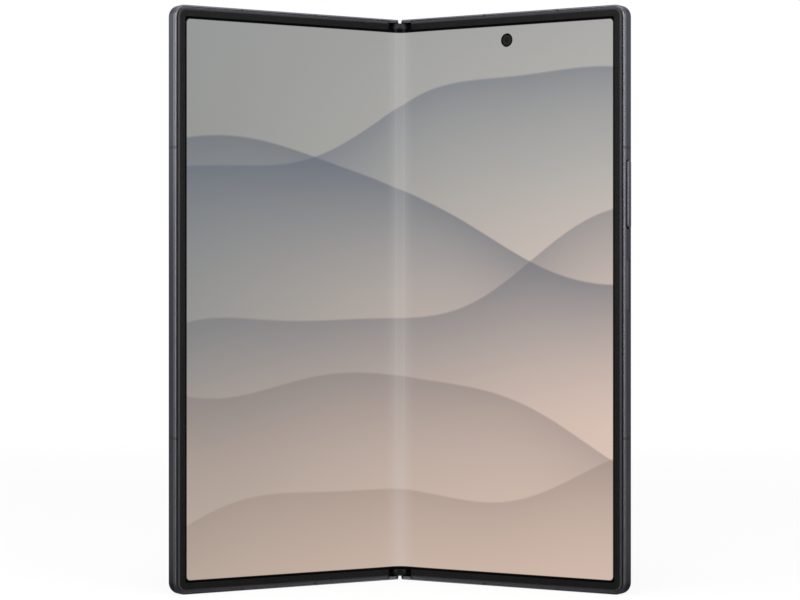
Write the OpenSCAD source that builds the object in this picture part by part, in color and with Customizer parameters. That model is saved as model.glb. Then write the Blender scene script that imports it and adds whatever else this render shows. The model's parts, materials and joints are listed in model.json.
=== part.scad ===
// Foldable smartphone of the book kind, standing half open on the bottom edges of its two halves.
// Each half is drawn lying flat: x runs outward from the fold line, y runs from the inner display's
// face to the back, z runs up along the fold. Both halves then turn about their hinge pins.

/* [Fold] */
// How far each half is turned towards closed, in degrees (0 is flat, 90 is shut)
fold_angle = 32; // [0:1:40]

/* [Body] */
// Height along the fold
body_h = 158.4; // [157:0.1:160]
// Width of one half, from the fold line to the outer face
half_w = 71.6; // [71:0.1:76]
// Thickness of one half
body_t = 4.2; // [4.2:0.05:4.5]
// Radius of the outer corners
corner_r = 3.2; // [3:0.1:6]
// Rounding of the outer edges at the back
edge_r = 0.6; // [0.5:0.05:1.25]
// Rounding of the outer edges round the display
front_r = 0.7; // [0.4:0.05:0.75]
// Thickness of the outer rails
rail_w = 2.2; // [2:0.1:2.6]

/* [Display] */
// Gap between the metal and the raised bezel
rim_gap = 0.42; // [0.2:0.02:0.46]
// Width of the raised bezel, seen from the front
bezel_w = 2.15; // [2:0.05:2.4]
// How far the bezel stands above the display
bezel_rise = 0.2; // [0.1:0.05:0.2]
// Radius of the bend of the display over the hinge, at rest
fold_r = 3.9; // [3.6:0.1:4.2]
// Radius of the camera hole in the inner display
inner_camera_r = 1.9; // [1.5:0.1:2.2]

/* [Hinge] */
// Gap between the two display faces when shut
closed_gap = 0.5; // [0.45:0.05:0.6]
// Depth of the two hinge axes below the display face
axis_y = 1.6; // [1.6:0.05:1.65]
// Running gap between the spine and the halves
spine_gap = 0.1; // [0.1:0.02:0.14]
// Thickness of the lips that cover the spine
lip_w = 0.5; // [0.46:0.02:0.5]
// Radius of the hinge pins
pin_r = 0.35; // [0.3:0.01:0.35]
// Running clearance of the knuckles on their pins
pin_clear = 0.05; // [0.02:0.01:0.08]

/* [Gears] */
// Size of one gear tooth (pitch diameter over tooth count)
gear_module = 0.16; // [0.16:0.01:0.16]
// Teeth of each gear that turns with a half
arm_teeth = 9; // [9:1:9]
// Teeth of each idler gear between them
idler_teeth = 8; // [8:1:8]
// Play taken off each tooth flank
tooth_play = 0.012; // [0.01:0.002:0.02]

/* [Keys] */
// Length of the power key
power_len = 14; // [12:0.1:15]
// Length of the volume rocker
rocker_len = 18.6; // [16:0.1:20]
// Width of both keys
key_w = 1.8; // [1.4:0.05:1.9]
// How far the volume rocker stands out of the side
rocker_proud = 0.45; // [0.1:0.05:0.5]

/* [Back] */
// Width of the raised camera island
island_w = 15.6; // [14:0.1:17]
// Height of the raised camera island
island_h = 47; // [44:0.5:50]
// How far the island stands off the back
island_rise = 1.1; // [0.8:0.1:1.5]
// Distance between neighbouring rear cameras
lens_pitch = 15.4; // [15:0.1:16]

/* [Hidden] */
$fn = 64;
eps = 0.01;
axis_x = axis_y + closed_gap / 2;
spine_r = body_t - axis_y - spine_gap - lip_w;
cavity_r = spine_r + spine_gap;
cover_wall = 0.3;
base_r = spine_r - cover_wall - 0.02;

// End walls of the halves and the spine between them
end_wall = 1.0;
end_gap = 0.1;
lobe_r = 1.35;
end_round = 0.7;
spine_z0 = end_wall + end_gap;
spine_z1 = body_h - spine_z0;
lip_x = 0.1;

// Layers of a half, as depths below the display face
panel_t = 0.35;
shelf_y = 0.6;
mid_y = 1.0;
glass_y = 3.7;

// Outline sizes of a half
glass_in = edge_r;
pocket_in = 0.65 * front_r;
rim_in = pocket_in + rim_gap;
bezel_in = rim_in + bezel_w;
panel_in = 2.7;
panel_z0 = 3.0;
panel_z1 = body_h - panel_z0;
bezel_foot_in = 2.6;
bezel_z_in = bezel_in + 0.1;
bezel_x0 = 4.45;
inner_x0 = 10.4;
inner_z0 = 2.6;
back_x0 = 5.2;
wing_x0 = 2.8;
seam_x = 9.35;
seam_gap = 0.02;
deep_x = 4.2;
deep_z = 2.2;

// Wing plates: each tilts by one eighteenth of the fold
wing_ratio = 1 / 18;
wing_tilt = fold_angle * wing_ratio;
wing_bead_r = 0.28;
wing_bead_y = 0.9;
wing_t = 0.25;

// Hinge arms
knuckle_r = 0.7;
arm_y0 = 1.6;
arm_y1 = 2.2;
arm_x1 = 9.5;
friction_z0 = 112;
gear_z0 = 71.2;
gear_face_z0 = 76.4;
gear_face_h = 5.6;
bay_gap = 0.1;
arm_screw_x = 7.75;

// Gear train: the idlers lie between the two arm gears
arm_pitch_r = gear_module * arm_teeth / 2;
idler_pitch_r = gear_module * idler_teeth / 2;
idler_x = idler_pitch_r;
idler_y = axis_y + sqrt(pow(arm_pitch_r + idler_pitch_r, 2) - pow(axis_x - idler_x, 2));
mesh_angle = atan2(idler_y - axis_y, axis_x - idler_x);
idler_ratio = arm_teeth / idler_teeth;
pressure_angle = 30;
addendum = 0.9 * gear_module;
dedendum = 1.1 * gear_module;
idler_pin_r = 0.25;
idler_clear = 0.03;

// Places of the keys, antenna breaks and ports, along z or x
power_z = 83.15;
rocker_z = 107.5;
key_y = 2.25;
key_floor_x = half_w - 1.1;
key_inner_x = half_w - 0.8;
key_gap = 0.06;
rocker_pivot_x = 71;
rocker_pivot_r = 0.45;
break_z = [42, 120];
break_x = [28, 51];
break_w = 0.8;
break_depth = 1.2;
usb_x = 38;
usb_y = 2.15;
usb_w = 8.34;
usb_t = 2.56;
usb_wall = 0.2;
usb_depth = 7.3;
tray_x = 39.5;
tray_y = 2.3;
tray_w = 12.4;
tray_len = 20;
tray_gap = 0.08;
camera_x = 35.3;
camera_z = 150.7;
island_x = 57;
island_gap = 0.03;
island_z = 128;
ring_r = 6.7;
barrel_r = 5;
cover_camera_x = 37.8;
cover_camera_z = 149.6;
battery_x0 = 12;
battery_x1 = 66;

// The half-open shape is set on its bottom edges with the middle of its plan box at the origin
plan_front = axis_y - (axis_y - front_r) * cos(fold_angle)
    - (half_w - front_r - axis_x) * sin(fold_angle) - front_r;
plan_back = axis_y + (body_t - axis_y) * cos(fold_angle) + (axis_x - lip_x) * sin(fold_angle);
shift_y = -(plan_front + plan_back) / 2;

// ---------------------------------------------------------------- places

// Puts the children on the spine, which stays still
module on_spine() translate([0, shift_y, 0]) children();

// Turns the children about the right-hand hinge pin, from flat to the rest angle
module on_right()
    on_spine()
        translate([axis_x, axis_y, 0])
            rotate([0, 0, -fold_angle])
                translate([-axis_x, -axis_y, 0])
                    children();

// The same for the left half, whose x also runs outward
module on_left() mirror([1, 0, 0]) on_right() children();

// Tilts the children about the wing plate's bead
module tilted()
    translate([seam_x, wing_bead_y, 0])
        rotate([0, 0, -wing_tilt])
            translate([-seam_x, -wing_bead_y, 0])
                children();

// The two hinge modules with springs are alike, one upside down below the middle
module upper_and_lower() {
    children();
    translate([0, 0, body_h]) mirror([0, 0, 1]) children();
}

// ---------------------------------------------------------------- common shapes

// Box between two corners
module block(low, high) translate(low) cube(high - low);

// Plate in x and z with rounded outer corners, inset from the outer faces of a half
module plate(inset, x0, y0, y1, z_inset, r) {
    x1 = half_w - inset;
    z0 = z_inset;
    z1 = body_h - z_inset;
    translate([0, y1, 0])
        rotate([90, 0, 0])
            linear_extrude(y1 - y0) {
                translate([x0, z0]) square([x1 - r - x0, z1 - z0]);
                translate([x1 - r - eps, z0 + r]) square([r + eps, z1 - z0 - 2 * r]);
                for (z = [z0 + r, z1 - r])
                    translate([x1 - r, z]) circle(r);
            }
}

// Section of a rail, with its outer face at x = 0: a small rounding beside the display at y = 0
// and a larger one at the back
module rail_section(depth) {
    back_y = body_t - edge_r;
    translate([-depth, front_r]) square([depth, back_y - front_r]);
    translate([-depth, 0]) square([depth - front_r, back_y]);
    translate([-depth, front_r]) square([depth - edge_r, body_t - front_r]);
    translate([-front_r, front_r]) circle(front_r);
    translate([-edge_r, back_y]) circle(edge_r);
}

// Whole outer shape of one half, solid, flat at the hinge side
module half_shell() {
    x1 = half_w - corner_r;
    block([lip_x, 0, corner_r], [x1, body_t, body_h - corner_r]);
    translate([half_w, 0, corner_r])
        linear_extrude(body_h - 2 * corner_r) rail_section(corner_r);
    for (end = [0, 1])
        translate([0, 0, end * body_h])
            mirror([0, 0, end]) {
                translate([lip_x, 0, 0])
                    rotate([90, 0, 90]) linear_extrude(x1 - lip_x) end_section();
                translate([x1, 0, corner_r])
                    rotate([-90, 0, 0])
                        rotate_extrude(angle = 90)
                            translate([corner_r, 0]) rail_section(corner_r);
            }
}

// The same section for the top and bottom rails, in y and z, with the outer face at z = 0
module end_section() rotate(-90) rail_section(corner_r);

// Rounded slot shape standing in y and z and running along x
module key_shape(len, wide, x0, x1)
    translate([x0, 0, 0])
        rotate([90, 0, 90])
            linear_extrude(x1 - x0) {
                square([wide, len - wide], center = true);
                for (side = [-1, 1])
                    translate([0, side * (len - wide) / 2]) circle(wide / 2);
            }

// Rounded slot shape lying in x and y and running along z
module port_shape(len, wide, z0, z1)
    translate([0, 0, z0])
        linear_extrude(z1 - z0) {
            square([len - wide, wide], center = true);
            for (side = [-1, 1])
                translate([side * (len - wide) / 2, 0]) circle(wide / 2);
        }

// Pill shape in x and z and running along y, for the camera island
module pill(wide, high, y0, y1)
    translate([0, y1, 0])
        rotate([90, 0, 0])
            linear_extrude(y1 - y0) {
                square([wide, high - wide], center = true);
                for (side = [-1, 1])
                    translate([0, side * (high - wide) / 2]) circle(wide / 2);
            }

// Disc or barrel standing along y
module disc_y(r, y0, y1)
    translate([0, y1, 0]) rotate([90, 0, 0]) cylinder(r = r, h = y1 - y0);

// Plan outline of the spine: a round end about each hinge axis, joined by a straight back
module spine_plan(r) {
    for (side = [-1, 1])
        translate([side * axis_x, axis_y]) circle(r);
    translate([-axis_x, axis_y - r]) square([2 * axis_x, 2 * r]);
}

// Part of the plan that lies deeper than a given depth
module deeper_than(y)
    translate([-10, y]) square([20, 10]);

// ---------------------------------------------------------------- gears

// Angle of the involute at radius r for a base circle of radius base, in degrees
function involute_angle(base, r) =
    let (turn = acos(min(1, base / r))) tan(turn) * 180 / PI - turn;

// Half the angle of a tooth at radius r
function tooth_half(teeth, base, pitch, r) =
    90 / teeth + involute_angle(base, pitch) - involute_angle(base, r)
        - tooth_play / pitch * 180 / PI;

// Outline of a gear with one tooth centred on the x axis
module gear_outline(teeth) {
    pitch = gear_module * teeth / 2;
    base = pitch * cos(pressure_angle);
    tip = pitch + addendum;
    root = pitch - dedendum;
    start = max(base, root);
    steps = 5;
    radii = [for (i = [0 : steps]) start + (tip - start) * i / steps];
    flank = [for (r = radii) [r, tooth_half(teeth, base, pitch, r)]];
    tooth = concat(
        [[root, flank[0][1]]],
        flank,
        [for (i = [steps : -1 : 0]) [flank[i][0], -flank[i][1]]],
        [[root, -flank[0][1]]]
    );
    polygon([
        for (k = [0 : teeth - 1])
            for (p = tooth)
                let (a = -p[1] + k * 360 / teeth) [p[0] * cos(a), p[0] * sin(a)]
    ]);
}

// ---------------------------------------------------------------- spine

module hinge_spine_cover() {
    color("#3c3d46")
        on_spine()
            translate([0, 0, spine_z0])
                linear_extrude(spine_z1 - spine_z0)
                    difference() {
                        intersection() {
                            spine_plan(spine_r);
                            deeper_than(arm_y1 + bay_gap);
                        }
                        spine_plan(spine_r - cover_wall);
                    }
}

// Block that fills the cover, from the display side to the back, between two heights
module base_block(z0, z1)
    translate([0, 0, z0])
        linear_extrude(z1 - z0)
            intersection() {
                spine_plan(base_r);
                deeper_than(mid_y + 0.05);
            }

module pin_bores(z0, z1, r)
    for (side = [-1, 1])
        translate([side * axis_x, axis_y, z0]) cylinder(r = r, h = z1 - z0);

// One of the two spring modules, as drawn above the middle
module friction_base() {
    floor_y = arm_y1 + 0.25;
    rib_x = 0.9;
    z = friction_z0;
    difference() {
        base_block(z, z + 25);
        for (side = [0, 1])
            mirror([side, 0, 0]) {
                block([rib_x, 0, z + 3], [4, floor_y, z + 15.1]);
                block([rib_x, 0, z + 18], [4, floor_y, z + 22]);
            }
        block([-rib_x - eps, 0, z + 7.95], [rib_x + eps, floor_y, z + 10.2]);
        pin_bores(z + 0.5, z + 24.5, pin_r);
    }
}

module hinge_base_upper() {
    color("#8d8f94") on_spine() friction_base();
}

module hinge_base_lower() {
    color("#8d8f94")
        on_spine() translate([0, 0, body_h]) mirror([0, 0, 1]) friction_base();
}

module hinge_base_centre() {
    color("#8d8f94")
        on_spine()
            difference() {
                base_block(gear_z0, body_h - gear_z0);
                block(
                    [-4, 0, gear_face_z0 - bay_gap],
                    [4, body_t - lip_w - spine_gap - cover_wall - 0.2,
                     gear_face_z0 + gear_face_h + bay_gap]
                );
                pin_bores(gear_z0 + 1.5, body_h - gear_z0 - 1.5, pin_r);
                for (side = [-1, 1])
                    translate([side * idler_x, idler_y, gear_z0 + 3])
                        cylinder(r = idler_pin_r, h = body_h - 2 * gear_z0 - 6);
            }
}

module hinge_pins() {
    color("#c4c6ca")
        on_spine() {
            upper_and_lower() pin_bores(friction_z0 + 0.5, friction_z0 + 24.5, pin_r);
            pin_bores(gear_z0 + 1.5, body_h - gear_z0 - 1.5, pin_r);
        }
}

module idler_pins() {
    color("#c4c6ca")
        on_spine()
            for (side = [-1, 1])
                translate([side * idler_x, idler_y, gear_z0 + 3])
                    cylinder(r = idler_pin_r, h = body_h - 2 * gear_z0 - 6);
}

// Stacks of disc springs that press the cams together
module torque_springs() {
    disc_t = 0.3;
    pitch = 0.55;
    color("#b0b2b6")
        on_spine()
            upper_and_lower()
                for (side = [-1, 1])
                    translate([side * axis_x, axis_y, friction_z0 + 10.25])
                        difference() {
                            for (i = [0 : 7])
                                translate([0, 0, i * pitch]) {
                                    cylinder(r = 0.68, h = disc_t);
                                    translate([0, 0, disc_t])
                                        cylinder(r = 0.5, h = pitch - disc_t);
                                }
                            translate([0, 0, -1]) cylinder(r = pin_r + 0.02, h = 8);
                        }
}

// Sliding cams that hold the fold where it is left
module cam_followers() {
    z0 = friction_z0 + 8.05;
    z1 = friction_z0 + 10.15;
    color("#9a9ca2")
        on_spine()
            upper_and_lower()
                difference() {
                    union() {
                        pin_bores(z0, z1, knuckle_r);
                        block([-axis_x, axis_y - 0.35, z0], [axis_x, axis_y + 0.35, z1]);
                    }
                    pin_bores(z0 - 1, z1 + 1, pin_r + 0.02);
                }
}

// Cap that closes the spine and shows between the ends of the bezel
module end_cap() {
    cap_x = 2.3;
    face_y = -0.05;
    step_y = 0.2;
    cap_z0 = panel_z1 + 0.05;
    translate([0, 0, cap_z0 - 0.9])
        linear_extrude(0.9)
            intersection() {
                spine_plan(base_r);
                deeper_than(mid_y + 0.05);
            }
    translate([0, 0, cap_z0])
        linear_extrude(spine_z1 - cap_z0)
            intersection() {
                spine_plan(base_r);
                deeper_than(axis_y - 0.6);
            }
    block([-cap_x, face_y, cap_z0], [cap_x, axis_y, spine_z1 - 0.45]);
    block([-cap_x, step_y, cap_z0], [cap_x, axis_y, spine_z1]);
}

module hinge_end_cap_top() {
    color("#26272b") on_spine() end_cap();
}

module hinge_end_cap_bottom() {
    color("#26272b")
        on_spine() translate([0, 0, body_h]) mirror([0, 0, 1]) end_cap();
}

// Gear between the two arm gears, with a bore for its pin
module idler(first_tooth) {
    difference() {
        linear_extrude(gear_face_h) rotate(first_tooth) gear_outline(idler_teeth);
        translate([0, 0, -1]) cylinder(r = idler_pin_r + idler_clear, h = gear_face_h + 2);
    }
}

module right_idler_gear() {
    color("#a8aaae")
        on_spine()
            translate([idler_x, idler_y, gear_face_z0])
                idler(fold_angle * idler_ratio - mesh_angle + 180 / idler_teeth);
}

module left_idler_gear() {
    color("#a8aaae")
        on_spine()
            translate([-idler_x, idler_y, gear_face_z0])
                idler(mesh_angle - fold_angle * idler_ratio);
}

// Points of a sheet's face over the fold, from the left seam to the right one, at a given depth:
// a straight stretch along each tilted wing and a round bend between them
function fold_face(depth) =
    let (
        bend = fold_angle + wing_tilt,
        face_x = axis_x + (seam_x - axis_x) * cos(fold_angle) - axis_y * sin(fold_angle),
        face_y = axis_y - axis_y * cos(fold_angle) - (seam_x - axis_x) * sin(fold_angle),
        centre_y = face_y + face_x * tan(bend) - fold_r / cos(bend),
        r = fold_r + depth,
        reach = face_x / cos(bend) - fold_r * tan(bend) - depth * tan(wing_tilt) - seam_gap,
        end_x = r * sin(bend) + reach * cos(bend),
        end_y = centre_y + r * cos(bend) - reach * sin(bend),
        steps = 24
    )
    concat(
        [[-end_x, end_y]],
        [
            for (i = [0 : steps])
                let (turn = bend * (2 * i / steps - 1)) [r * sin(turn), centre_y + r * cos(turn)]
        ],
        [[end_x, end_y]]
    );

function backwards(points) = [for (i = [len(points) - 1 : -1 : 0]) points[i]];

// Plan section of a sheet of a given thickness over the fold
module fold_plan(depth, thick)
    polygon(concat(fold_face(depth), backwards(fold_face(depth + thick))));

// The bending part of the inner display
module display_fold() {
    color("#17181a")
        on_spine()
            translate([0, 0, panel_z0])
                linear_extrude(panel_z1 - panel_z0) fold_plan(0, panel_t);
}

// Thin springy plate that carries it
module fold_lattice() {
    color("#77797e")
        on_spine()
            translate([0, 0, panel_z0])
                linear_extrude(panel_z1 - panel_z0) fold_plan(panel_t, 0.2);
}

// Ribbon cables that cross the hinge inside the spine
module hinge_flex_cables() {
    cable_t = 0.15;
    cable_w = 8;
    spine_half = 1.6;
    spine_depth = 2.75;
    ledge_depth = 1.9;
    ledge_x = 5;
    inner_end = 11.8;
    dx = ledge_x - axis_x;
    dy = ledge_depth - axis_y;
    turn_x = axis_x + dx * cos(fold_angle) + dy * sin(fold_angle);
    turn_y = axis_y + dy * cos(fold_angle) - dx * sin(fold_angle);
    color("#9a6a2c") {
        on_spine()
            for (z = [53, body_h - 53 - cable_w])
                translate([0, 0, z])
                    linear_extrude(cable_w) {
                        polygon([
                            [-spine_half, spine_depth], [spine_half, spine_depth],
                            [turn_x, turn_y], [turn_x, turn_y + cable_t],
                            [spine_half, spine_depth + cable_t],
                            [-spine_half, spine_depth + cable_t],
                            [-turn_x, turn_y + cable_t], [-turn_x, turn_y]
                        ]);
                    }
        for (z = [53, body_h - 53 - cable_w]) {
            on_right() block([ledge_x, ledge_depth, z], [inner_end, ledge_depth + cable_t, z + cable_w]);
            on_left() block([ledge_x, ledge_depth, z], [inner_end, ledge_depth + cable_t, z + cable_w]);
        }
    }
}

// ---------------------------------------------------------------- parts that both halves have

// Plastic windows in the metal rails, flush with the outer faces
module break_boxes() {
    for (z = break_z)
        block([half_w - break_depth, -1, z - break_w / 2], [half_w + 1, body_t + 1, z + break_w / 2]);
    for (x = break_x)
        for (z = [0, body_h])
            block(
                [x - break_w / 2, -1, max(-1, z - break_depth)],
                [x + break_w / 2, body_t + 1, min(body_h + 1, z + break_depth)]
            );
}

module antenna_breaks()
    intersection() {
        frame_shell();
        break_boxes();
    }

// Waste outside the rounded corner of an end wall that starts at x0, between two depths
module end_rounding(x0, y0, y1)
    difference() {
        block([-1, y0, -1], [x0 + end_round, y1, end_round]);
        translate([x0 + end_round, y0 - 1, end_round])
            rotate([-90, 0, 0]) cylinder(r = end_round, h = y1 - y0 + 2);
    }

// Outer shell of a frame with its front and back pockets, before local cuts
module frame_shell() {
    difference() {
        half_shell();
        // Pocket for bezel and display
        plate(pocket_in, seam_x, -1, shelf_y, pocket_in, corner_r - pocket_in);
        // Pocket for the back glass
        plate(glass_in, back_x0, glass_y, body_t + 1, glass_in, corner_r - glass_in);
        // Inside, between the display shelf and the back glass
        plate(rail_w, inner_x0, mid_y, glass_y + eps, inner_z0, corner_r - rail_w);
        // Room for the hinge arms and wing plates
        block([deep_x, -1, deep_z], [seam_x, arm_y1, body_h - deep_z]);
        block([deep_x, -1, pocket_in], [seam_x + eps, shelf_y, body_h - pocket_in]);
        block([-1, -1, end_wall], [deep_x + eps, axis_y, body_h - end_wall]);
        block([axis_x, -1, end_wall], [deep_x + eps, arm_y1, body_h - end_wall]);
        // Trough for the spine
        translate([axis_x, axis_y, end_wall])
            cylinder(r = cavity_r, h = body_h - 2 * end_wall);
        block([-1, axis_y - eps, end_wall], [axis_x, axis_y + cavity_r, body_h - end_wall]);
        // Socket for the wing plate's bead
        translate([seam_x, wing_bead_y, deep_z])
            cylinder(r = wing_bead_r + 0.05, h = body_h - 2 * deep_z);
        // End walls keep clear of the other half while they turn
        for (z = [-1, body_h - end_wall - eps])
            difference() {
                block([-1, -1, z], [axis_x, axis_y, z + end_wall + 1 + eps]);
                translate([axis_x, axis_y, z - 1]) cylinder(r = lobe_r, h = end_wall + 4);
            }
        // Their outer corners at the fold are rounded
        for (end = [0, 1])
            translate([0, 0, end * body_h])
                mirror([0, 0, end]) {
                    end_rounding(axis_x - lobe_r, -1, axis_y);
                    end_rounding(lip_x, axis_y, body_t + 1);
                }
    }
}

// Windows through the rib beside the hinge for the ribbon cables
module cable_windows()
    for (z = [53, body_h - 53 - 8])
        block([seam_x - 0.5, 1.7, z - 0.4], [inner_x0 + eps, arm_y1, z + 8.4]);

// Threaded holes for the arm screws
module screw_places() {
    for (z = [5, 12.5, 20])
        upper_and_lower() translate([arm_screw_x, 0, friction_z0 + z]) children();
    for (z = [gear_z0 + 2.2, body_h - gear_z0 - 2.2])
        translate([arm_screw_x, 0, z]) children();
}

module frame_common() {
    difference() {
        frame_shell();
        break_boxes();
        cable_windows();
        screw_places() disc_y(0.4, 1, 3.2);
    }
}

// Raised rim round the display, open towards the fold
module bezel_shape() {
    difference() {
        plate(rim_in, bezel_x0, -bezel_rise, shelf_y, rim_in, corner_r - rim_in);
        plate(bezel_in, bezel_x0 - 1, -1, eps, bezel_z_in, 0.6);
        plate(bezel_foot_in, bezel_x0 - 1, 0, body_t, bezel_foot_in, 0.6);
    }
}

module display_panel_shape()
    plate(panel_in, seam_x, 0, panel_t, panel_z0, 0.5);

module support_plate_shape()
    plate(panel_in, seam_x, panel_t, shelf_y, panel_z0, 0.5);

module wing_plate_shape() {
    block([wing_x0, shelf_y, panel_z0 + 0.4], [seam_x, shelf_y + wing_t, panel_z1 - 0.4]);
    translate([seam_x, wing_bead_y, panel_z0 + 0.4])
        cylinder(r = wing_bead_r, h = panel_z1 - panel_z0 - 0.8);
}

// Arm of a spring module: two knuckles, two necks and one screwed plate
module pivot_arm() {
    z = friction_z0;
    knuckles = [[z + 3.1, z + 7.9], [z + 18.1, z + 21.9]];
    difference() {
        union() {
            for (k = knuckles) {
                translate([axis_x, axis_y, k[0]]) cylinder(r = knuckle_r, h = k[1] - k[0]);
                block([axis_x, arm_y0, k[0]], [5, arm_y1, k[1]]);
            }
            block([5 - eps, arm_y0, z + 3.1], [arm_x1 - 0.6, arm_y1, z + 21.9]);
        }
        translate([axis_x, axis_y, z]) cylinder(r = pin_r + pin_clear, h = 30);
    }
}

module pivot_arms_shape()
    difference() {
        upper_and_lower() pivot_arm();
        screw_places() disc_y(0.45, 1, 3);
    }

// Arm whose knuckle is cut as a gear
module gear_arm_shape(first_tooth) {
    plate_z0 = gear_z0 + 0.6;
    difference() {
        union() {
            translate([axis_x, axis_y, gear_face_z0])
                linear_extrude(gear_face_h) rotate(first_tooth) gear_outline(arm_teeth);
            block(
                [axis_x + 0.45, arm_y0, gear_face_z0],
                [5, arm_y1, gear_face_z0 + gear_face_h]
            );
            block([5 - eps, arm_y0, plate_z0], [arm_x1 - 0.6, arm_y1, body_h - plate_z0]);
        }
        translate([axis_x, axis_y, gear_z0])
            cylinder(r = pin_r + pin_clear, h = body_h - 2 * gear_z0);
        screw_places() disc_y(0.45, 1, 3);
    }
}

// Arm screws: low heads and shanks
module hinge_screws_shape()
    screw_places() {
        disc_y(0.8, arm_y0 - 0.3, arm_y0);
        disc_y(0.4, arm_y0, 3.1);
    }

// Small magnets that hold the halves shut
module magnets_shape()
    for (z = [22, 60, 130])
        block([67, mid_y, z], [69, mid_y + 1.2, z + 9]);

// ---------------------------------------------------------------- left half

module left_frame() {
    color("#3f4048")
        on_left()
            difference() {
                frame_common();
                // Slot for the card tray
                translate([tray_x, tray_y, 0])
                    port_shape(tray_w + 1.6 + 2 * tray_gap, 1.4 + 2 * tray_gap, -1, 1.05);
                block(
                    [tray_x - tray_w / 2 - 0.3, tray_y - 0.75, 0.9],
                    [tray_x + tray_w / 2 + 0.3, tray_y + 0.75, inner_z0 + eps]
                );
                // Openings of the upper speaker
                for (i = [0 : 4])
                    translate([46 + 2 * i, 2.1, body_h - 3]) cylinder(r = 0.5, h = 4);
            }
}

module left_bezel() {
    color("#1b1c1e") on_left() bezel_shape();
}

module left_display_panel() {
    color("#b8b4ad") on_left() display_panel_shape();
}

module left_support_plate() {
    color("#77797e") on_left() support_plate_shape();
}

module left_wing_plate() {
    color("#85878c") on_left() tilted() wing_plate_shape();
}

module cover_glass() {
    color("#0c0d10")
        on_left()
            plate(glass_in, back_x0, glass_y, body_t, glass_in, corner_r - glass_in);
}

module cover_display_panel() {
    color("#101114")
        on_left()
            difference() {
                plate(2.6, 11, 3.2, glass_y, 3, 0.6);
                translate([cover_camera_x, 0, cover_camera_z]) disc_y(1.75, 3, 4);
            }
}

module cover_camera() {
    color("#15161a")
        on_left()
            translate([cover_camera_x, 0, cover_camera_z]) {
                block([-3, 1.2, -3], [3, 3.15, 3]);
                disc_y(1.6, 3.1, glass_y);
            }
}

module left_battery() {
    color("#2b2d33") on_left() block([battery_x0, 1.1, 46], [battery_x1, 3.1, 122]);
}

// Board with the card reader's contacts, a screening can and a connector
module sub_board() {
    color("#1e5a3c")
        on_left() {
            block([battery_x0, mid_y + 0.05, 4], [battery_x1, 1.5, 42]);
            block([48, 1.5, 6], [64, 2.7, 36]);
            block([14, 1.5, 32], [22, 2.4, 38]);
        }
}

module earpiece_speaker() {
    color("#2a2b2e")
        on_left()
            difference() {
                block([44, 1.2, 144], [60, 3.0, 155]);
                block([45.5, 1.6, 154], [54.5, 2.6, 156]);
            }
}

module vibration_motor() {
    color("#8f9196")
        on_left() {
            block([52, mid_y, 125], [64, 1.6, 135]);
            block([53, 1.6, 126], [63, 3.0, 134]);
        }
}

// Cage that guides the card tray
module sim_reader() {
    color("#b4b6ba")
        on_left()
            difference() {
                block(
                    [tray_x - tray_w / 2 - 0.45, 1.55, inner_z0 + 0.1],
                    [tray_x + tray_w / 2 + 0.45, 3.05, tray_len + 4]
                );
                block(
                    [tray_x - tray_w / 2 - 0.2, 1.7, 0],
                    [tray_x + tray_w / 2 + 0.2, 2.9, tray_len + 2.5]
                );
            }
}

// Card tray: face plate flush with the bottom edge, frame with two card windows
module sim_tray() {
    color("#44454d")
        on_left()
            translate([tray_x, tray_y, 0])
                difference() {
                    union() {
                        port_shape(tray_w + 1.6, 1.4, 0.04, 0.9);
                        block([-tray_w / 2, -0.5, 0.85], [tray_w / 2, 0.5, tray_len + 1]);
                    }
                    block([-tray_w / 2 + 1, -0.6, 4], [tray_w / 2 - 1, 0.25, tray_len]);
                    translate([tray_w / 2 - 0.6, 0, -1]) cylinder(r = 0.4, h = 2.5);
                }
}

module left_gear_arm() {
    color("#9a9ca2")
        on_left() gear_arm_shape(180 - mesh_angle + 180 / arm_teeth);
}

module left_pivot_arms() {
    color("#9a9ca2") on_left() pivot_arms_shape();
}

module left_hinge_screws() {
    color("#c4c6ca") on_left() hinge_screws_shape();
}

module left_antenna_breaks() {
    color("#5b5c66") on_left() antenna_breaks();
}

module left_magnets() {
    color("#a2a4a8") on_left() magnets_shape();
}

// ---------------------------------------------------------------- right half

// Places of the three rear cameras
module lens_places()
    for (i = [-1 : 1])
        translate([island_x, 0, island_z + i * lens_pitch]) children();

module right_frame() {
    color("#3f4048")
        on_right()
            difference() {
                frame_common();
                // Hollows of the two keys and holes for their plungers
                translate([0, key_y, power_z])
                    key_shape(power_len + 2 * key_gap, key_w + 2 * key_gap, key_floor_x, half_w + 1);
                translate([0, key_y, rocker_z])
                    key_shape(rocker_len + 2 * key_gap, key_w + 2 * key_gap, key_floor_x, half_w + 1);
                for (z = [power_z - 4, power_z + 4, rocker_z - 6, rocker_z + 6])
                    translate([half_w - rail_w - 1, key_y, z])
                        rotate([0, 90, 0]) cylinder(r = 0.58, h = 3);
                // Charging port and lower speaker
                translate([usb_x, usb_y, 0])
                    port_shape(usb_w + 2 * usb_wall, usb_t + 2 * usb_wall, -1, 3);
                block(
                    [usb_x - usb_w / 2 - usb_wall - 0.2, shelf_y - eps, inner_z0],
                    [usb_x + usb_w / 2 + usb_wall + 0.2, mid_y + eps, usb_depth + 0.2]
                );
                for (i = [0 : 4])
                    translate([55 + 2 * i, 2.1, -1]) cylinder(r = 0.5, h = 4);
                // Microphones
                translate([24, 2.1, -1]) cylinder(r = 0.4, h = 4);
                translate([40, 2.1, body_h - 3]) cylinder(r = 0.4, h = 4);
                // Inner camera
                translate([camera_x, 0, camera_z]) disc_y(inner_camera_r + 0.1, 0, 1.5);
            }
}

module right_bezel() {
    color("#1b1c1e") on_right() bezel_shape();
}

module right_display_panel() {
    color("#c0b8ae")
        on_right()
            difference() {
                display_panel_shape();
                translate([camera_x, 0, camera_z]) disc_y(inner_camera_r, -1, 1);
            }
}

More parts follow.
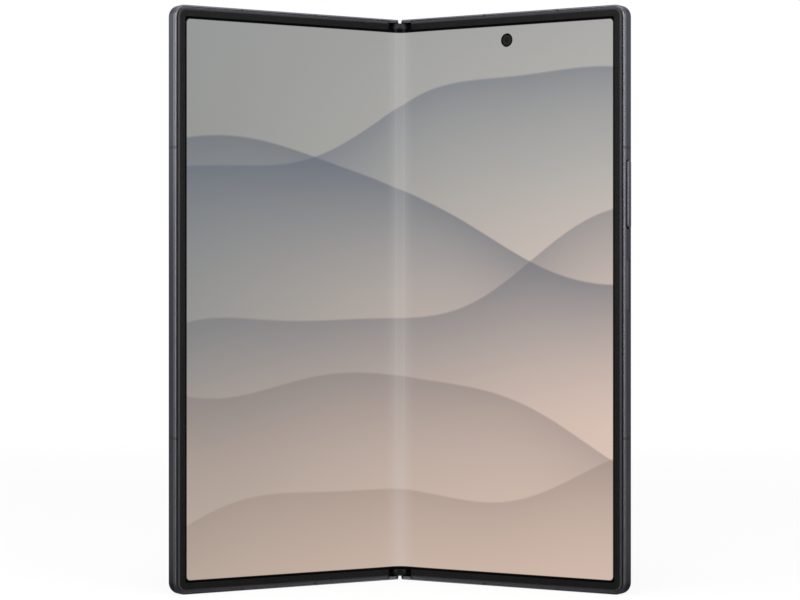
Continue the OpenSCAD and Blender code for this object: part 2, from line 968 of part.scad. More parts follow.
module right_support_plate() {
    color("#77797e")
        on_right()
            difference() {
                support_plate_shape();
                translate([camera_x, 0, camera_z]) disc_y(inner_camera_r + 0.1, 0, 1);
            }
}

module right_wing_plate() {
    color("#85878c") on_right() tilted() wing_plate_shape();
}

module inner_camera() {
    color("#0d0e11")
        on_right()
            translate([camera_x, 0, camera_z]) {
                disc_y(inner_camera_r - 0.05, 0.08, mid_y + 0.05);
                block([-3.2, mid_y + 0.02, -3.2], [3.2, 3.4, 3.2]);
            }
}

module rear_glass() {
    color("#43444c")
        on_right()
            difference() {
                plate(glass_in, back_x0, glass_y, body_t, glass_in, corner_r - glass_in);
                translate([island_x, 0, island_z])
                    pill(island_w + 2 * island_gap, island_h + 2 * island_gap, 3, 5);
                translate([45.5, 0, island_z + 12]) disc_y(1.8, 3, 5);
            }
}

module camera_island() {
    color("#1c1d21")
        on_right()
            difference() {
                translate([island_x, 0, island_z])
                    pill(island_w, island_h, glass_y, body_t + island_rise);
                lens_places() disc_y(barrel_r + 0.1, 3, 6);
            }
}

module camera_rings() {
    color("#33343a")
        on_right()
            lens_places()
                difference() {
                    disc_y(ring_r, body_t + island_rise, body_t + island_rise + 0.7);
                    disc_y(barrel_r + 0.1, 3, 8);
                }
}

module camera_lenses() {
    color("#0a0b0f")
        on_right()
            lens_places()
                disc_y(barrel_r + 0.1, body_t + island_rise, body_t + island_rise + 0.5);
}

module rear_camera_modules() {
    color("#2a2b30")
        on_right()
            lens_places() {
                block([-5.8, 1.1, -6.3], [5.8, 3.6, 6.3]);
                disc_y(barrel_r, 3.55, body_t + island_rise - 0.05);
            }
}

module flash_led() {
    color("#efe9cf")
        on_right() translate([45.5, 0, island_z + 12]) disc_y(1.8, 3.4, body_t);
}

// Main board, with a notch beside the inner camera, and its screening cans
module main_board() {
    color("#1e5a3c")
        on_right() {
            difference() {
                block([battery_x0, 1.95, 99], [49.5, 2.5, 155]);
                block([camera_x - 3.6, 1, camera_z - 3.8], [camera_x + 3.6, 3, 156]);
            }
            block([14, 1.15, 102], [47, 1.95, 142]);
            block([14, 2.5, 104], [36, 3.4, 128]);
            block([38, 2.5, 104], [48, 3.2, 124]);
            block([14, 2.5, 131], [30, 3.3, 144]);
        }
}

module right_battery() {
    color("#2b2d33") on_right() block([battery_x0, 1.1, 34], [battery_x1, 3.35, 96]);
}

// Flat coil for charging without a plug
module charging_coil() {
    color("#b36b35")
        on_right()
            translate([39, 0, 65])
                difference() {
                    disc_y(22, 3.4, glass_y);
                    disc_y(10, 3, 4);
                }
}

module charging_board() {
    color("#1e5a3c")
        on_right() {
            block([battery_x0, 1.1, 8], [52, 1.7, 31]);
            block([18, 1.7, 12], [30, 2.8, 26]);
        }
}

// Metal shell of the charging port with its contact tongue
module usb_port() {
    color("#7d7f84")
        on_right()
            translate([usb_x, usb_y, 0]) {
                difference() {
                    port_shape(usb_w + 2 * usb_wall, usb_t + 2 * usb_wall, 0.35, usb_depth);
                    port_shape(usb_w, usb_t, 0, usb_depth - 0.6);
                }
                block([-3.3, -0.35, 1.2], [3.3, 0.35, usb_depth - 0.3]);
            }
}

module bottom_speaker() {
    color("#2a2b2e")
        on_right()
            difference() {
                block([53, 1.2, 3], [67.5, 3.4, 20]);
                block([54, 1.6, 2], [64, 2.6, 4]);
            }
}

// Dome switches behind the keys
module key_switches() {
    switch_x0 = half_w - rail_w - 1.2;
    color("#b4b6ba")
        on_right()
            for (z = [power_z, rocker_z - 6, rocker_z + 6])
                block([switch_x0, key_y - 0.8, z - 1.5], [half_w - rail_w - 0.3, key_y + 0.8, z + 1.5]);
}

// Body of a key with two plungers that reach through the rail
module key_body(len, centre_z, proud, plunger)
    translate([0, key_y, centre_z]) {
        key_shape(len, key_w, key_inner_x, half_w + proud);
        for (side = [-1, 1])
            translate([half_w - rail_w - 0.05, 0, side * plunger])
                rotate([0, 90, 0]) cylinder(r = 0.45, h = rail_w - 0.7);
    }

module power_key() {
    color("#2e2f36") on_right() key_body(power_len, power_z, -0.05, 4);
}

// The volume rocker tips on a round rib across its back
module volume_rocker() {
    color("#3a3b43")
        on_right() {
            key_body(rocker_len, rocker_z, rocker_proud, 6);
            translate([rocker_pivot_x, 0, rocker_z])
                disc_y(rocker_pivot_r, key_y - 0.5, key_y + 0.5);
        }
}

module right_gear_arm() {
    color("#9a9ca2")
        on_right() gear_arm_shape(180 - mesh_angle);
}

module right_pivot_arms() {
    color("#9a9ca2") on_right() pivot_arms_shape();
}

module right_hinge_screws() {
    color("#c4c6ca") on_right() hinge_screws_shape();
}

module right_antenna_breaks() {
    color("#5b5c66") on_right() antenna_breaks();
}

module right_magnets() {
    color("#a2a4a8") on_right() magnets_shape();
}

// ---------------------------------------------------------------- assembly

hinge_spine_cover();
hinge_base_upper();
hinge_base_centre();
hinge_base_lower();
hinge_pins();
hinge_end_cap_top();
hinge_end_cap_bottom();
torque_springs();
cam_followers();
idler_pins();
display_fold();
fold_lattice();
hinge_flex_cables();
left_idler_gear();
right_idler_gear();
left_frame();
left_bezel();
left_display_panel();
left_support_plate();
cover_glass();
cover_display_panel();
cover_camera();
left_battery();
sub_board();
earpiece_speaker();
vibration_motor();
sim_reader();
sim_tray();
left_gear_arm();
left_pivot_arms();
left_hinge_screws();
left_antenna_breaks();
left_magnets();
left_wing_plate();
right_frame();
right_bezel();
right_display_panel();
right_support_plate();
inner_camera();
rear_glass();
camera_island();
camera_rings();
camera_lenses();
rear_camera_modules();
flash_led();
main_board();
right_battery();
charging_coil();
charging_board();
usb_port();
bottom_speaker();
key_switches();
right_gear_arm();
right_pivot_arms();
right_hinge_screws();
right_antenna_breaks();
right_magnets();
right_wing_plate();
power_key();
volume_rocker();
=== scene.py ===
# %% [markdown]
# # A folding phone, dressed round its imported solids
# The phone's solids are already in place, at real size, and they stay as they are. This script adds
# what the eye sees first: a bending display, soft rims, rounded glass and keys, and a finish for
# every surface. All lengths are in metres, with +Z up along the fold and +Y away from the viewer.

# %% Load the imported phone
import json
import math

import bmesh
import bpy
import numpy as np
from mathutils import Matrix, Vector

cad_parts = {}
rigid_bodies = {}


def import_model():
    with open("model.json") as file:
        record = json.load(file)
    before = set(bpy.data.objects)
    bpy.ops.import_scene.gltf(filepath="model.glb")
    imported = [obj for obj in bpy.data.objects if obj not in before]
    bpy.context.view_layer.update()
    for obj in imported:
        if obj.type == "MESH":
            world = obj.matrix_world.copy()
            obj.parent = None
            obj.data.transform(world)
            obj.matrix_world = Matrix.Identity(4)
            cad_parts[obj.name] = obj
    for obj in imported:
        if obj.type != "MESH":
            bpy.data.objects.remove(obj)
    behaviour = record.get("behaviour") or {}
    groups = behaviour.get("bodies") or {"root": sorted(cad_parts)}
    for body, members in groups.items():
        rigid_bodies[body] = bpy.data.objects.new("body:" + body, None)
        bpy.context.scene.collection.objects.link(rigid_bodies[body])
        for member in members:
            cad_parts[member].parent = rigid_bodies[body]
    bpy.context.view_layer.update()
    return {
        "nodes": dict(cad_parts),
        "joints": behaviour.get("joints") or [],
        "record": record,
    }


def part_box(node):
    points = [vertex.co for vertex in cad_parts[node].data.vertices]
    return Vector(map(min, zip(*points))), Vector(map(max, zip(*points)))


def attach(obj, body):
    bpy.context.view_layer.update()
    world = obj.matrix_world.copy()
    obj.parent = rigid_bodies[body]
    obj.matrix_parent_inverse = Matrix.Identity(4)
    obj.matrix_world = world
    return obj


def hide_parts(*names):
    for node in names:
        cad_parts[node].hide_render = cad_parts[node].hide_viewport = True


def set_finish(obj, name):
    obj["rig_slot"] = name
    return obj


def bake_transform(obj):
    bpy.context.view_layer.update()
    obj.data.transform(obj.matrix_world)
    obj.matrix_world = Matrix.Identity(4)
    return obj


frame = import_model()

# %% [markdown]
# ## Flat coordinates
# Each half stands turned by the rest angle about its hinge pin, which makes its places awkward to
# write down. It is easier to think of a half lying flat: x runs out from the fold line, v is the
# depth below the display's face, and z runs up. One turn about the pin then puts a point in place,
# and the same turn undone reads a solid's sizes. The left half is the mirror image of the right.

# %% Turn between flat coordinates and the standing phone
MM = 0.001
fold_joint = next(j for j in frame["joints"] if j["name"] == "right_fold")
pin_x, pin_y = fold_joint["pos_m"][:2]
pin_depth = 1.6 * MM
rest_angle = math.radians(-fold_joint["range_deg"][0])
COS, SIN = math.cos(rest_angle), math.sin(rest_angle)
RIGHT, LEFT = 1, -1


def placed(x, v, z, side=RIGHT):
    """Standing points from flat ones: the offset from the pin, turned by the rest angle."""
    dx, dv = np.asarray(x) - pin_x, np.asarray(v) - pin_depth
    across = side * (pin_x + dx * COS + dv * SIN)
    back = pin_y + dv * COS - dx * SIN
    return np.stack(np.broadcast_arrays(across, back, z), axis=-1)


def mesh_points(mesh):
    """All vertex places of a mesh, as rows of three."""
    points = np.empty(len(mesh.vertices) * 3, np.float32)
    mesh.vertices.foreach_get("co", points)
    return points.reshape(-1, 3).astype(float)


def flat_box(node):
    """Lowest and highest (x, v, z) of a solid on a half: the turn about the pin, undone."""
    points = mesh_points(frame["nodes"][node].data)
    side = math.copysign(1, points[:, 0].mean())
    dx, dy = side * points[:, 0] - pin_x, points[:, 1] - pin_y
    flat = np.stack([pin_x + dx * COS - dy * SIN, pin_depth + dx * SIN + dy * COS, points[:, 2]], -1)
    return flat.min(0), flat.max(0)


half_reach = flat_box("right_frame")[1]
half_w, _, body_h = half_reach
print("half", np.round(half_reach / MM, 2).tolist(), "mm, turned", round(math.degrees(rest_angle), 2))

# %% [markdown]
# ## The camera
# The photograph looks straight at the fold, at half the phone's height, through a long lens: the
# display's edges narrow only a little towards the fold. The lens and the distance follow from that.

# %% Camera
CAMERA_DISTANCE = 687.7 * MM
CAMERA_SIDE, CAMERA_LOW = 0.04 * MM, 0.1 * MM
LENS = 109.5


def add_object(name, data):
    """A new object at the origin, put into the scene."""
    made = bpy.data.objects.new(name, data)
    bpy.context.scene.collection.objects.link(made)
    return made


camera = add_object("camera", bpy.data.cameras.new("camera"))
bpy.context.scene.camera = camera
camera.data.lens = LENS
camera.data.clip_start = 0.01
camera.location = (CAMERA_SIDE, pin_y - pin_depth - CAMERA_DISTANCE, body_h / 2 - CAMERA_LOW)
camera.rotation_euler = (math.radians(90), 0, 0)
bpy.context.scene.view_settings.view_transform = "Standard"
print("camera at", [round(c, 4) for c in camera.location])

# %% [markdown]
# ## Surfaces from stacked outlines
# Almost every part here is a stack of outlines: a plate is the same outline drawn in a little at
# its edge, a key is a slot shape, a lens ring is a circle. Each is a table of points, worked out in
# one go, and the faces join each outline to the next. Rounded edges are only more rows.

# %% Closed surfaces
SHARP_ANGLE = math.radians(32)


def skin(loops, joined=False):
    """Surface through outlines (rows x columns x 3): each face joins two neighbours on one outline
    to the two beside them on the next. One face closes each end, or the last row meets the first."""
    rows, columns = loops.shape[:2]
    at = np.arange(rows * columns).reshape(rows, columns)
    low, high = (at, np.roll(at, -1, axis=0)) if joined else (at[:-1], at[1:])
    quads = np.stack([low, np.roll(low, -1, 1), np.roll(high, -1, 1), high], axis=-1)
    ends = [] if joined else [at[0], at[-1]]
    return loops.reshape(-1, 3), [*quads.reshape(-1, 4), *ends]


def surface_mesh(name, parts):
    """One mesh from several surfaces: points stacked, faces renumbered, normals turned outward."""
    starts = np.cumsum([0] + [len(points) for points, _ in parts])
    faces = [face + start for start, (_, part) in zip(starts, parts) for face in part]
    mesh = bpy.data.meshes.new(name)
    mesh.from_pydata(np.concatenate([points for points, _ in parts]), [], faces)
    work = bmesh.new()
    work.from_mesh(mesh)
    bmesh.ops.recalc_face_normals(work, faces=work.faces)
    work.to_mesh(mesh)
    work.free()
    return mesh


def shade(mesh):
    """Smooth faces, with a hard edge wherever two faces turn by more than the sharp angle."""
    mesh.polygons.foreach_set("use_smooth", np.ones(len(mesh.polygons), bool))
    mesh.set_sharp_from_angle(angle=SHARP_ANGLE)


# %% [markdown]
# ## From surfaces to pieces
# A piece takes the place of one or more solids and names the finish it takes; most pieces are then
# attached to a body. Holes are cut with a Boolean whose tool is thrown away at once, so that nothing is
# left live. A piece's pattern is laid on it as a map in real lengths.

# %% Pieces
def make_piece(name, parts, slot, replaces=(), holes=()):
    """One object at the origin from closed surfaces, less the holes."""
    made = add_object(name, surface_mesh(name, parts))
    if holes:
        cut(made, holes)
    shade(made.data)
    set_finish(made, slot)
    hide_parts(*replaces)
    print(name, len(made.data.vertices), "points")
    return made


def cut(made, holes):
    """Takes closed surfaces out of a piece, and keeps the result as its mesh."""
    tool = add_object("tool", surface_mesh("tool", holes))
    step = made.modifiers.new("cut", "BOOLEAN")
    step.object, step.operation, step.solver = tool, "DIFFERENCE", "EXACT"
    now = made.evaluated_get(bpy.context.evaluated_depsgraph_get())
    result = bpy.data.meshes.new_from_object(now)
    made.modifiers.clear()
    made.data = result
    bpy.data.objects.remove(tool)


def even_normals(made):
    """Lets large flat faces set the shading beside a rounded edge, so that flats stay flat."""
    made.modifiers.new("even", "WEIGHTED_NORMAL").keep_sharp = True
    return made


def lay_pattern(made, measure):
    """The piece's own map: each corner gets the two lengths that the measure gives its place."""
    corners = np.empty(len(made.data.loops), np.int32)
    made.data.loops.foreach_get("vertex_index", corners)
    lengths = measure(mesh_points(made.data))[corners]
    made.data.uv_layers.new(name="pattern").data.foreach_set("uv", lengths.astype(np.float32).ravel())


# %% [markdown]
# ## Outlines
# Four outlines draw the whole phone. A half's plate runs from the fold round two corners and back. A
# slot shape serves keys and the camera island, a soft box the hinge caps, a circle the lenses. Each
# is given by its sizes, so one call with a column of sizes makes every row of the stack.

# %% Outline functions
CORNER_STEPS = 14
corner_r = 3.2 * MM


def column(*values):
    """The same values as columns of equal length, for one row per outline."""
    rows = [np.atleast_1d(np.asarray(v, float)) for v in values]
    return [row[:, None] for row in np.broadcast_arrays(*rows)]


def quarter(steps):
    """Sine and cosine over a quarter turn, in equal steps."""
    turn = np.linspace(0, math.pi / 2, steps + 1)
    return np.sin(turn), np.cos(turn)


def half_outline(x0, inset, inset_z, radius):
    """(x, z) along the bottom from x0, round a corner, up the side, round a corner and back: each
    corner is its centre plus the radius times the sine and cosine of a quarter turn."""
    x0, inset, inset_z, radius = column(x0, inset, inset_z, radius)
    sine, cosine = quarter(CORNER_STEPS)
    corner_x, low_z, high_z = half_w - inset - radius, inset_z + radius, body_h - inset_z - radius
    x = np.hstack([x0, corner_x + radius * sine, corner_x + radius * cosine, x0])
    z = np.hstack([inset_z, low_z - radius * cosine, high_z + radius * sine, body_h - inset_z])
    return x, z


def slot_outline(width, height, steps=24):
    """(p, q) round a slot shape: two half circles of the width, as far apart as the height asks."""
    width, height = column(width, height)
    turn = np.linspace(0, math.pi, steps + 1)
    p, q = width / 2 * np.cos(turn), width / 2 * np.sin(turn) + (height - width) / 2
    return np.hstack([p, -p]), np.hstack([q, -q])


def box_outline(width, height, radius, steps=6):
    """(p, q) round a box whose corners are quarter circles."""
    width, height, radius = column(width, height, radius)
    sine, cosine = quarter(steps)
    p, q = width / 2 - radius, height / 2 - radius
    across = [p + radius * cosine, -p - radius * sine, -p - radius * cosine, p + radius * sine]
    up = [q + radius * sine, q + radius * cosine, -q - radius * sine, -q - radius * cosine]
    return np.hstack(across), np.hstack(up)


def circle_outline(radius, steps=64):
    """(p, q) round a circle."""
    turn = np.arange(steps) * 2 * math.pi / steps
    (radius,) = column(radius)
    return radius * np.cos(turn), radius * np.sin(turn)


def rounded_edge(radius, steps=6):
    """How far a rounded edge has drawn in, and how far it still is below the top, row by row."""
    sine, cosine = quarter(steps)
    return radius * (1 - cosine), radius * (1 - sine)


def raised_rows(start, top, edge, steps=6):
    """Draw-in and level of the rows of a stack that rises from start to top with a rounded edge."""
    draw, below = rounded_edge(edge, steps)
    return np.append(0, draw), np.append(start, top - math.copysign(1, top - start) * below)


def upright(outline, depth, side=RIGHT, centre=(0, 0)):
    """Rows of an outline that faces along the depth of a half, one row for each depth."""
    (depth,) = column(depth)
    return placed(centre[0] + outline[0], depth, centre[1] + outline[1], side)


# %% [markdown]
# ## The folding display
# The real display is one flexible sheet that bends round the hinge. Here it is two thin sheets that
# meet at the fold line. The curve is a round bend, then a straight stretch over the wing plate, then
# the flat half, all as one function of the distance along the sheet. Its steps shrink towards the fold
# line, so both sides shade alike where they meet.

# %% The bend as a function of distance along the sheet
seam_x = 9.35 * MM
fold_r = 3.9 * MM
bend = rest_angle * 19 / 18
WING_SLOPE = 0.034
spine_y = pin_y - pin_depth
screen_low, screen_high = flat_box("right_display_panel")
seam_at = placed(seam_x, 0, 0)
fold_centre_y = seam_at[1] + seam_at[0] * math.tan(bend) - fold_r / math.cos(bend)
bend_length = fold_r * bend
fold_length = bend_length + seam_at[0] / math.cos(bend) - fold_r * math.tan(bend)
print("bend", round(bend_length / MM, 2), "mm, to the seam", round(fold_length / MM, 2), "mm")


def sheet_line(s, depth):
    """Plan place (x, y) at distance s along the sheet and a depth below its face. In the bend the
    angle is s / r; on the wing the line runs straight on; past the seam it lies on the half."""
    angle = np.minimum(s, bend_length) / fold_r
    past = np.clip(s - bend_length, 0, fold_length - bend_length)
    bent_x = (fold_r + depth) * np.sin(angle) + past * math.cos(bend)
    bent_y = fold_centre_y + (fold_r + depth) * np.cos(angle) - past * math.sin(bend)
    flat = placed(seam_x + s - fold_length, depth, 0)
    on_half = s > fold_length
    return np.where(on_half, flat[..., 0], bent_x), np.where(on_half, flat[..., 1], bent_y)


def sheet_steps(end_x):
    """Distances along the sheet: fine at the fold line, even round the bend, then few."""
    near = bend_length * np.linspace(0, 1, 33) ** 1.5
    wing = np.linspace(bend_length, fold_length, 12)[1:]
    flat = fold_length + (end_x - seam_x) * np.linspace(0, 1, 7)[1:] ** 2
    return np.concatenate([near, wing, flat])


def bent_sheet(side, depths, z_range, end_x, thinner=0.0):
    """A closed sheet between two depths: at each step along the line, a four-cornered section. The
    underside rises by the wing's slope towards the fold line, up to the most that is asked."""
    s = sheet_steps(end_x)[:, None]
    rise = np.clip((fold_length - s) * WING_SLOPE, 0, thinner)
    depth = np.repeat(depths, 2) - rise * np.array([0, 0, 1, 1])
    z = np.array([*z_range, *z_range[::-1]])
    x, y = sheet_line(s, depth)
    return skin(np.stack(np.broadcast_arrays(side * x, y, z), axis=-1))


def screen_place(points):
    """(distance from the fold line, height) in decimetres: on a half the turn is undone, and in the
    bend the angle round its centre gives the distance."""
    out = np.abs(points[:, 0])
    on_half = pin_x + (out - pin_x) * COS - (points[:, 1] - pin_y) * SIN
    bent = fold_r * np.arctan2(out, points[:, 1] - fold_centre_y)
    straight = bend_length + (out - fold_r * math.sin(bend)) / math.cos(bend)
    on_bend = np.where(bent < bend_length, bent, straight) * seam_x / fold_length
    across = np.where(on_half < seam_x, on_bend, on_half)
    return np.stack([np.sign(points[:, 0]) * across, points[:, 2]], -1) * 10


def bend_with(made):
    """Bakes a sheet's place into its mesh; nothing ties it to the spine or to a half."""
    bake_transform(made)


# %% [markdown]
# The camera looks out through a round hole in the right sheet. A short round bar at that place, a
# little longer than the sheet is thick, is all the tool that the Boolean needs. The springy plate under
# the sheet follows the same curve. It thins towards the fold line, which leaves the wing plate below it
# free when the phone lies flat.

# %% Display sheets and the springy plates under them
SIDES = ((LEFT, "left"), (RIGHT, "right"))
screen_z = (screen_low[2], screen_high[2])
camera_centre, camera_hole_r = (35.3 * MM, 150.7 * MM), 1.9 * MM
plate_gap, plate_t, plate_thinner = 0.01 * MM, 0.19 * MM, 0.165 * MM


def bar(radius, depths, side, centre):
    """A round bar through a half, between two depths."""
    return skin(upright(circle_outline(np.full(2, radius)), depths, side, centre))


for side, half in SIDES:
    holes = [bar(camera_hole_r, (-1 * MM, 1 * MM), RIGHT, camera_centre)] if side == RIGHT else []
    display = make_piece(
        half + "_display_sheet", [bent_sheet(side, (0, screen_high[1]), screen_z, screen_high[0])],
        "inner_display", [half + "_display_panel", "display_fold"], holes,
    )
    under = (screen_high[1] + plate_gap, screen_high[1] + plate_gap + plate_t)
    plate = bent_sheet(side, under, screen_z, seam_x - 0.05 * MM, plate_thinner)
    spring = make_piece(half + "_fold_plate", [plate], "plate_steel", ["fold_lattice"])
    for sheet in (display, spring):
        lay_pattern(sheet, screen_place)
        bend_with(sheet)
print("fold line to sheet edge", round((fold_length + screen_high[0] - seam_x) / MM, 2), "mm")

# %% [markdown]
# ## Ribbon cables across the hinge
# Two thin ribbons carry the signals from one half to the other, under the display and through the
# spine. They bend each time the phone is opened; here each side of a ribbon is a strip of its own.

# %% Ribbon cables
ribbon_low, ribbon_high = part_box("hinge_flex_cables")
ribbon_w, ribbon_t = 8 * MM, 0.15 * MM
ledge_depth, ledge_start, ledge_end = 1.9 * MM, 5.0 * MM, 11.8 * MM


def ribbon(side, z0):
    """A strip along a smooth curve in plan: level in the spine, then an S-shaped rise
    (3t^2 - 2t^3) to its ledge in the half, then along that ledge."""
    t = np.linspace(0, 1, 17)[:, None]
    ledge, end = [placed(x, ledge_depth, 0) for x in (ledge_start, ledge_end)]
    level_x, level_y = 1.6 * MM, spine_y + 2.75 * MM
    x = np.vstack([[[0.0]], level_x + (ledge[0] - level_x) * t, [[end[0]]]])
    y = np.vstack([[[level_y]], level_y + (ledge[1] - level_y) * (3 * t**2 - 2 * t**3), [[end[1]]]])
    thick, z = np.array([0, 0, ribbon_t, ribbon_t]), z0 + np.array([0, ribbon_w, ribbon_w, 0])
    return skin(np.stack(np.broadcast_arrays(side * x, y + thick, z), axis=-1))


for side, half in SIDES:
    starts = (ribbon_low[2], ribbon_high[2] - ribbon_w)
    ribbons = [ribbon(side, z0) for z0 in starts]
    cable = make_piece(half + "_ribbon_cables", ribbons, "flex_film", ["hinge_flex_cables"])
    lay_pattern(cable, screen_place)
    bend_with(cable)

# %% [markdown]
# ## The raised rim round the display
# A soft rim stands a little above the display and keeps the two faces apart when the phone is shut.
# Its section is a closed profile: a foot on the shelf, a sloping shoulder beside the metal, a flat
# top and a small rounding beside the screen. The profile is carried along the outline of the half.

# %% Rim profile, and the rims
bezel_low, bezel_high = flat_box("right_bezel")
rim_inset, rim_width, lip_width = half_w - bezel_high[0], 2.15 * MM, 0.43 * MM
rim_x0, rim_top, rim_foot = bezel_low[0], bezel_low[1], bezel_high[1]


def rim_profile():
    """(distance from the metal, depth) round the section: the shoulder is a quarter of an ellipse
    as high as the rim, and the inner edge a quarter of a small circle."""
    sine, cosine = quarter(7)
    shoulder_w, small, lip, lip_x = 0.62 * MM, 0.09 * MM, -0.01 * MM, rim_width - lip_width
    shoulder = [shoulder_w * (1 - cosine), rim_top * sine]
    inner = [rim_width - small * (1 - sine), rim_top + small * (1 - cosine)]
    foot = [[rim_width, lip_x, lip_x, 0], [lip, lip, rim_foot, rim_foot]]
    return np.hstack([shoulder, inner, foot])


def rim(side):
    """Each profile point follows the half's outline at its own distance in. Beside the hinge the
    section's top drops in a small rounding."""
    draw, depth = rim_profile()
    inner = draw / rim_width
    radius = (corner_r - rim_inset - draw) * (1 - inner) + 0.6 * MM * inner
    x, z = half_outline(rim_x0, rim_inset + draw, rim_inset + draw + 0.1 * MM * inner, radius)
    back, drop = rounded_edge(0.15 * MM, 4)
    near = np.broadcast_to(rim_x0 + back, (len(draw), len(back)))
    x = np.hstack([near, x[:, 1:-1], near[:, ::-1]])
    z = np.hstack([np.repeat(z[:, :1], len(back), 1), z[:, 1:-1], np.repeat(z[:, -1:], len(back), 1)])
    drops = np.concatenate([drop, np.zeros(x.shape[1] - 2 * len(drop)), drop[::-1]])
    is_top = depth[:, None] < -0.05 * MM
    level = depth[:, None] + np.where(is_top, drops, 0)
    return skin(placed(x, level, z, side).swapaxes(0, 1))


def rim_place(points):
    """(distance from the metal, height up the half) in millimetres. Round the corners the distance
    is the radius less the distance from the corner's centre, like that of a rounded box."""
    flat_x = pin_x + (np.abs(points[:, 0]) - pin_x) * COS - (points[:, 1] - pin_y) * SIN
    radius = corner_r - rim_inset
    out_x = flat_x - (half_w - rim_inset - radius)
    out_z = np.abs(points[:, 2] - body_h / 2) - (body_h / 2 - rim_inset - radius)
    corner = np.hypot(np.maximum(out_x, 0), np.maximum(out_z, 0))
    away = radius - corner - np.minimum(np.maximum(out_x, out_z), 0)
    return np.stack([away, points[:, 2] - body_h / 2], -1) / MM


for side, half in SIDES:
    made = make_piece(half + "_display_rim", [rim(side)], "bezel_plastic", [half + "_bezel"])
    lay_pattern(made, rim_place)
    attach(even_normals(made), half + "_half")

# %% [markdown]
# ## Glass on the two backs
# Each back is a flat pane let into the metal, with a softly ground edge. The pane is the half's
# outline stacked from its inner face to its outer one, drawn in along a quarter circle at the edge.
# The right pane has an opening for the camera island and one for the flash.

# %% Back panes
pane_low, pane_high = flat_box("cover_glass")
pane_inset = half_w - pane_high[0]
island_centre, island_size = (57 * MM, 128 * MM), (15.6 * MM, 47 * MM)
flash_centre = (45.5 * MM, 140 * MM)
cover_camera_centre = (37.8 * MM, 149.6 * MM)
ISLAND_GAP, PANE_EDGE, FLASH_HOLE = 0.03 * MM, 0.28 * MM, 1.8 * MM
through = (3 * MM, 5 * MM)


def pane(side):
    """The half's outline, stacked from the pane's inner face to its outer one."""
    draw, depth = raised_rows(pane_low[1], pane_high[1], PANE_EDGE)
    radius = corner_r - pane_inset - draw
    outline = half_outline(pane_low[0] + draw, pane_inset + draw, pane_inset + draw, radius)
    return skin(upright(outline, depth, side))


def local_place(side, centres):
    """The map of a round part: (across, up) from the nearest of the centres, in millimetres."""

    def measure(points):
        out = side * points[:, 0]
        flat = np.stack([pin_x + (out - pin_x) * COS - (points[:, 1] - pin_y) * SIN, points[:, 2]], -1)
        away = flat[:, None, :] - np.array(centres)[None]
        nearest = np.argmin((away**2).sum(-1), axis=1)
        return away[np.arange(len(points)), nearest] / MM

    return measure


island_hole = skin(upright(
    slot_outline(*[np.full(2, size + 2 * ISLAND_GAP) for size in island_size]),
    through, RIGHT, island_centre,
))
flash_hole = bar(FLASH_HOLE, through, RIGHT, flash_centre)
cover_pane = make_piece("cover_display_glass", [pane(LEFT)], "cover_glass", ["cover_glass"])
lay_pattern(cover_pane, local_place(LEFT, [cover_camera_centre]))
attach(even_normals(cover_pane), "left_half")
back_holes = [island_hole, flash_hole]
back_pane = make_piece("back_pane", [pane(RIGHT)], "rear_glass", ["rear_glass"], back_holes)
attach(even_normals(back_pane), "right_half")

# %% [markdown]
# ## Camera island
# The island is a tall slot-shaped block of glass with a rounded top edge. Three metal rings stand
# on it, and each holds a lens: a flat glass collar, a stepped black throat that keeps stray light
# out, and the domed front element. Rings and lenses are profiles carried round an axis.

# %% Island, rings and lenses
lens_centres = [(57 * MM, (128 + 15.4 * i) * MM) for i in (-1, 0, 1)]
island_top = flat_box("camera_island")[1][1]
ISLAND_EDGE, WELL = 0.5 * MM, 5.1 * MM


def turned_part(profile, side, centre, joined=False, steps=64):
    """A profile of (radius, depth) in millimetres carried round an axis along the depth."""
    radius, depth = np.array(profile, float).T * MM
    return skin(upright(circle_outline(radius, steps), depth, side, centre), joined=joined)


draw, depth = raised_rows(pane_low[1], island_top, ISLAND_EDGE, 8)
island_outline = slot_outline(*[size - 2 * draw for size in island_size], 40)
block = skin(upright(island_outline, depth, RIGHT, island_centre))
wells = [bar(WELL, (3 * MM, 6 * MM), RIGHT, centre) for centre in lens_centres]
island = make_piece("camera_island_glass", [block], "island_glass", ["camera_island"], wells)
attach(even_normals(island), "right_half")

round_in, round_down = rounded_edge(0.22, 5)
ring_profile = np.vstack([
    [[6.7, 5.3]], np.stack([6.7 - round_in, 6.0 - round_down], -1), [[5.75, 6.0]], [[5.62, 5.96]],
    [[5.14, 5.84]], [[5.14, 5.3]],
])
rings = make_piece(
    "lens_rings", [turned_part(ring_profile, RIGHT, c, joined=True, steps=96) for c in lens_centres],
    "ring_metal", ["camera_rings"],
)
DOME, DOME_FOOT, DOME_RISE = 2.35, 5.46, 0.16
dome_r = np.linspace(DOME, 0.1, 12)
lens_profile = np.vstack([
    [[5.1, 5.3], [5.1, 5.72], [5.03, 5.78], [3.62, 5.78], [3.55, 5.74], [3.4, 5.62], [3.15, 5.62],
     [3.1, 5.54], [2.85, 5.54], [2.8, 5.46], [2.4, 5.46]],
    np.stack([dome_r, DOME_FOOT + DOME_RISE * (1 - (dome_r / DOME) ** 2)], -1),
])
lenses = make_piece(
    "rear_lenses", [turned_part(lens_profile, RIGHT, c) for c in lens_centres], "lens_glass",
    ["camera_lenses"],
)
for made in (rings, lenses):
    lay_pattern(made, local_place(RIGHT, lens_centres))
    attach(made, "right_half")

# %% [markdown]
# ## Flash and inner camera
# The flash sits under a small lens with ring-shaped ridges, which spread its light. The inner
# camera looks out of the display: a black collar, a step, and a dark disc with the tiny lens in its
# middle. Both are profiles carried round an axis, and the camera also has its square housing.

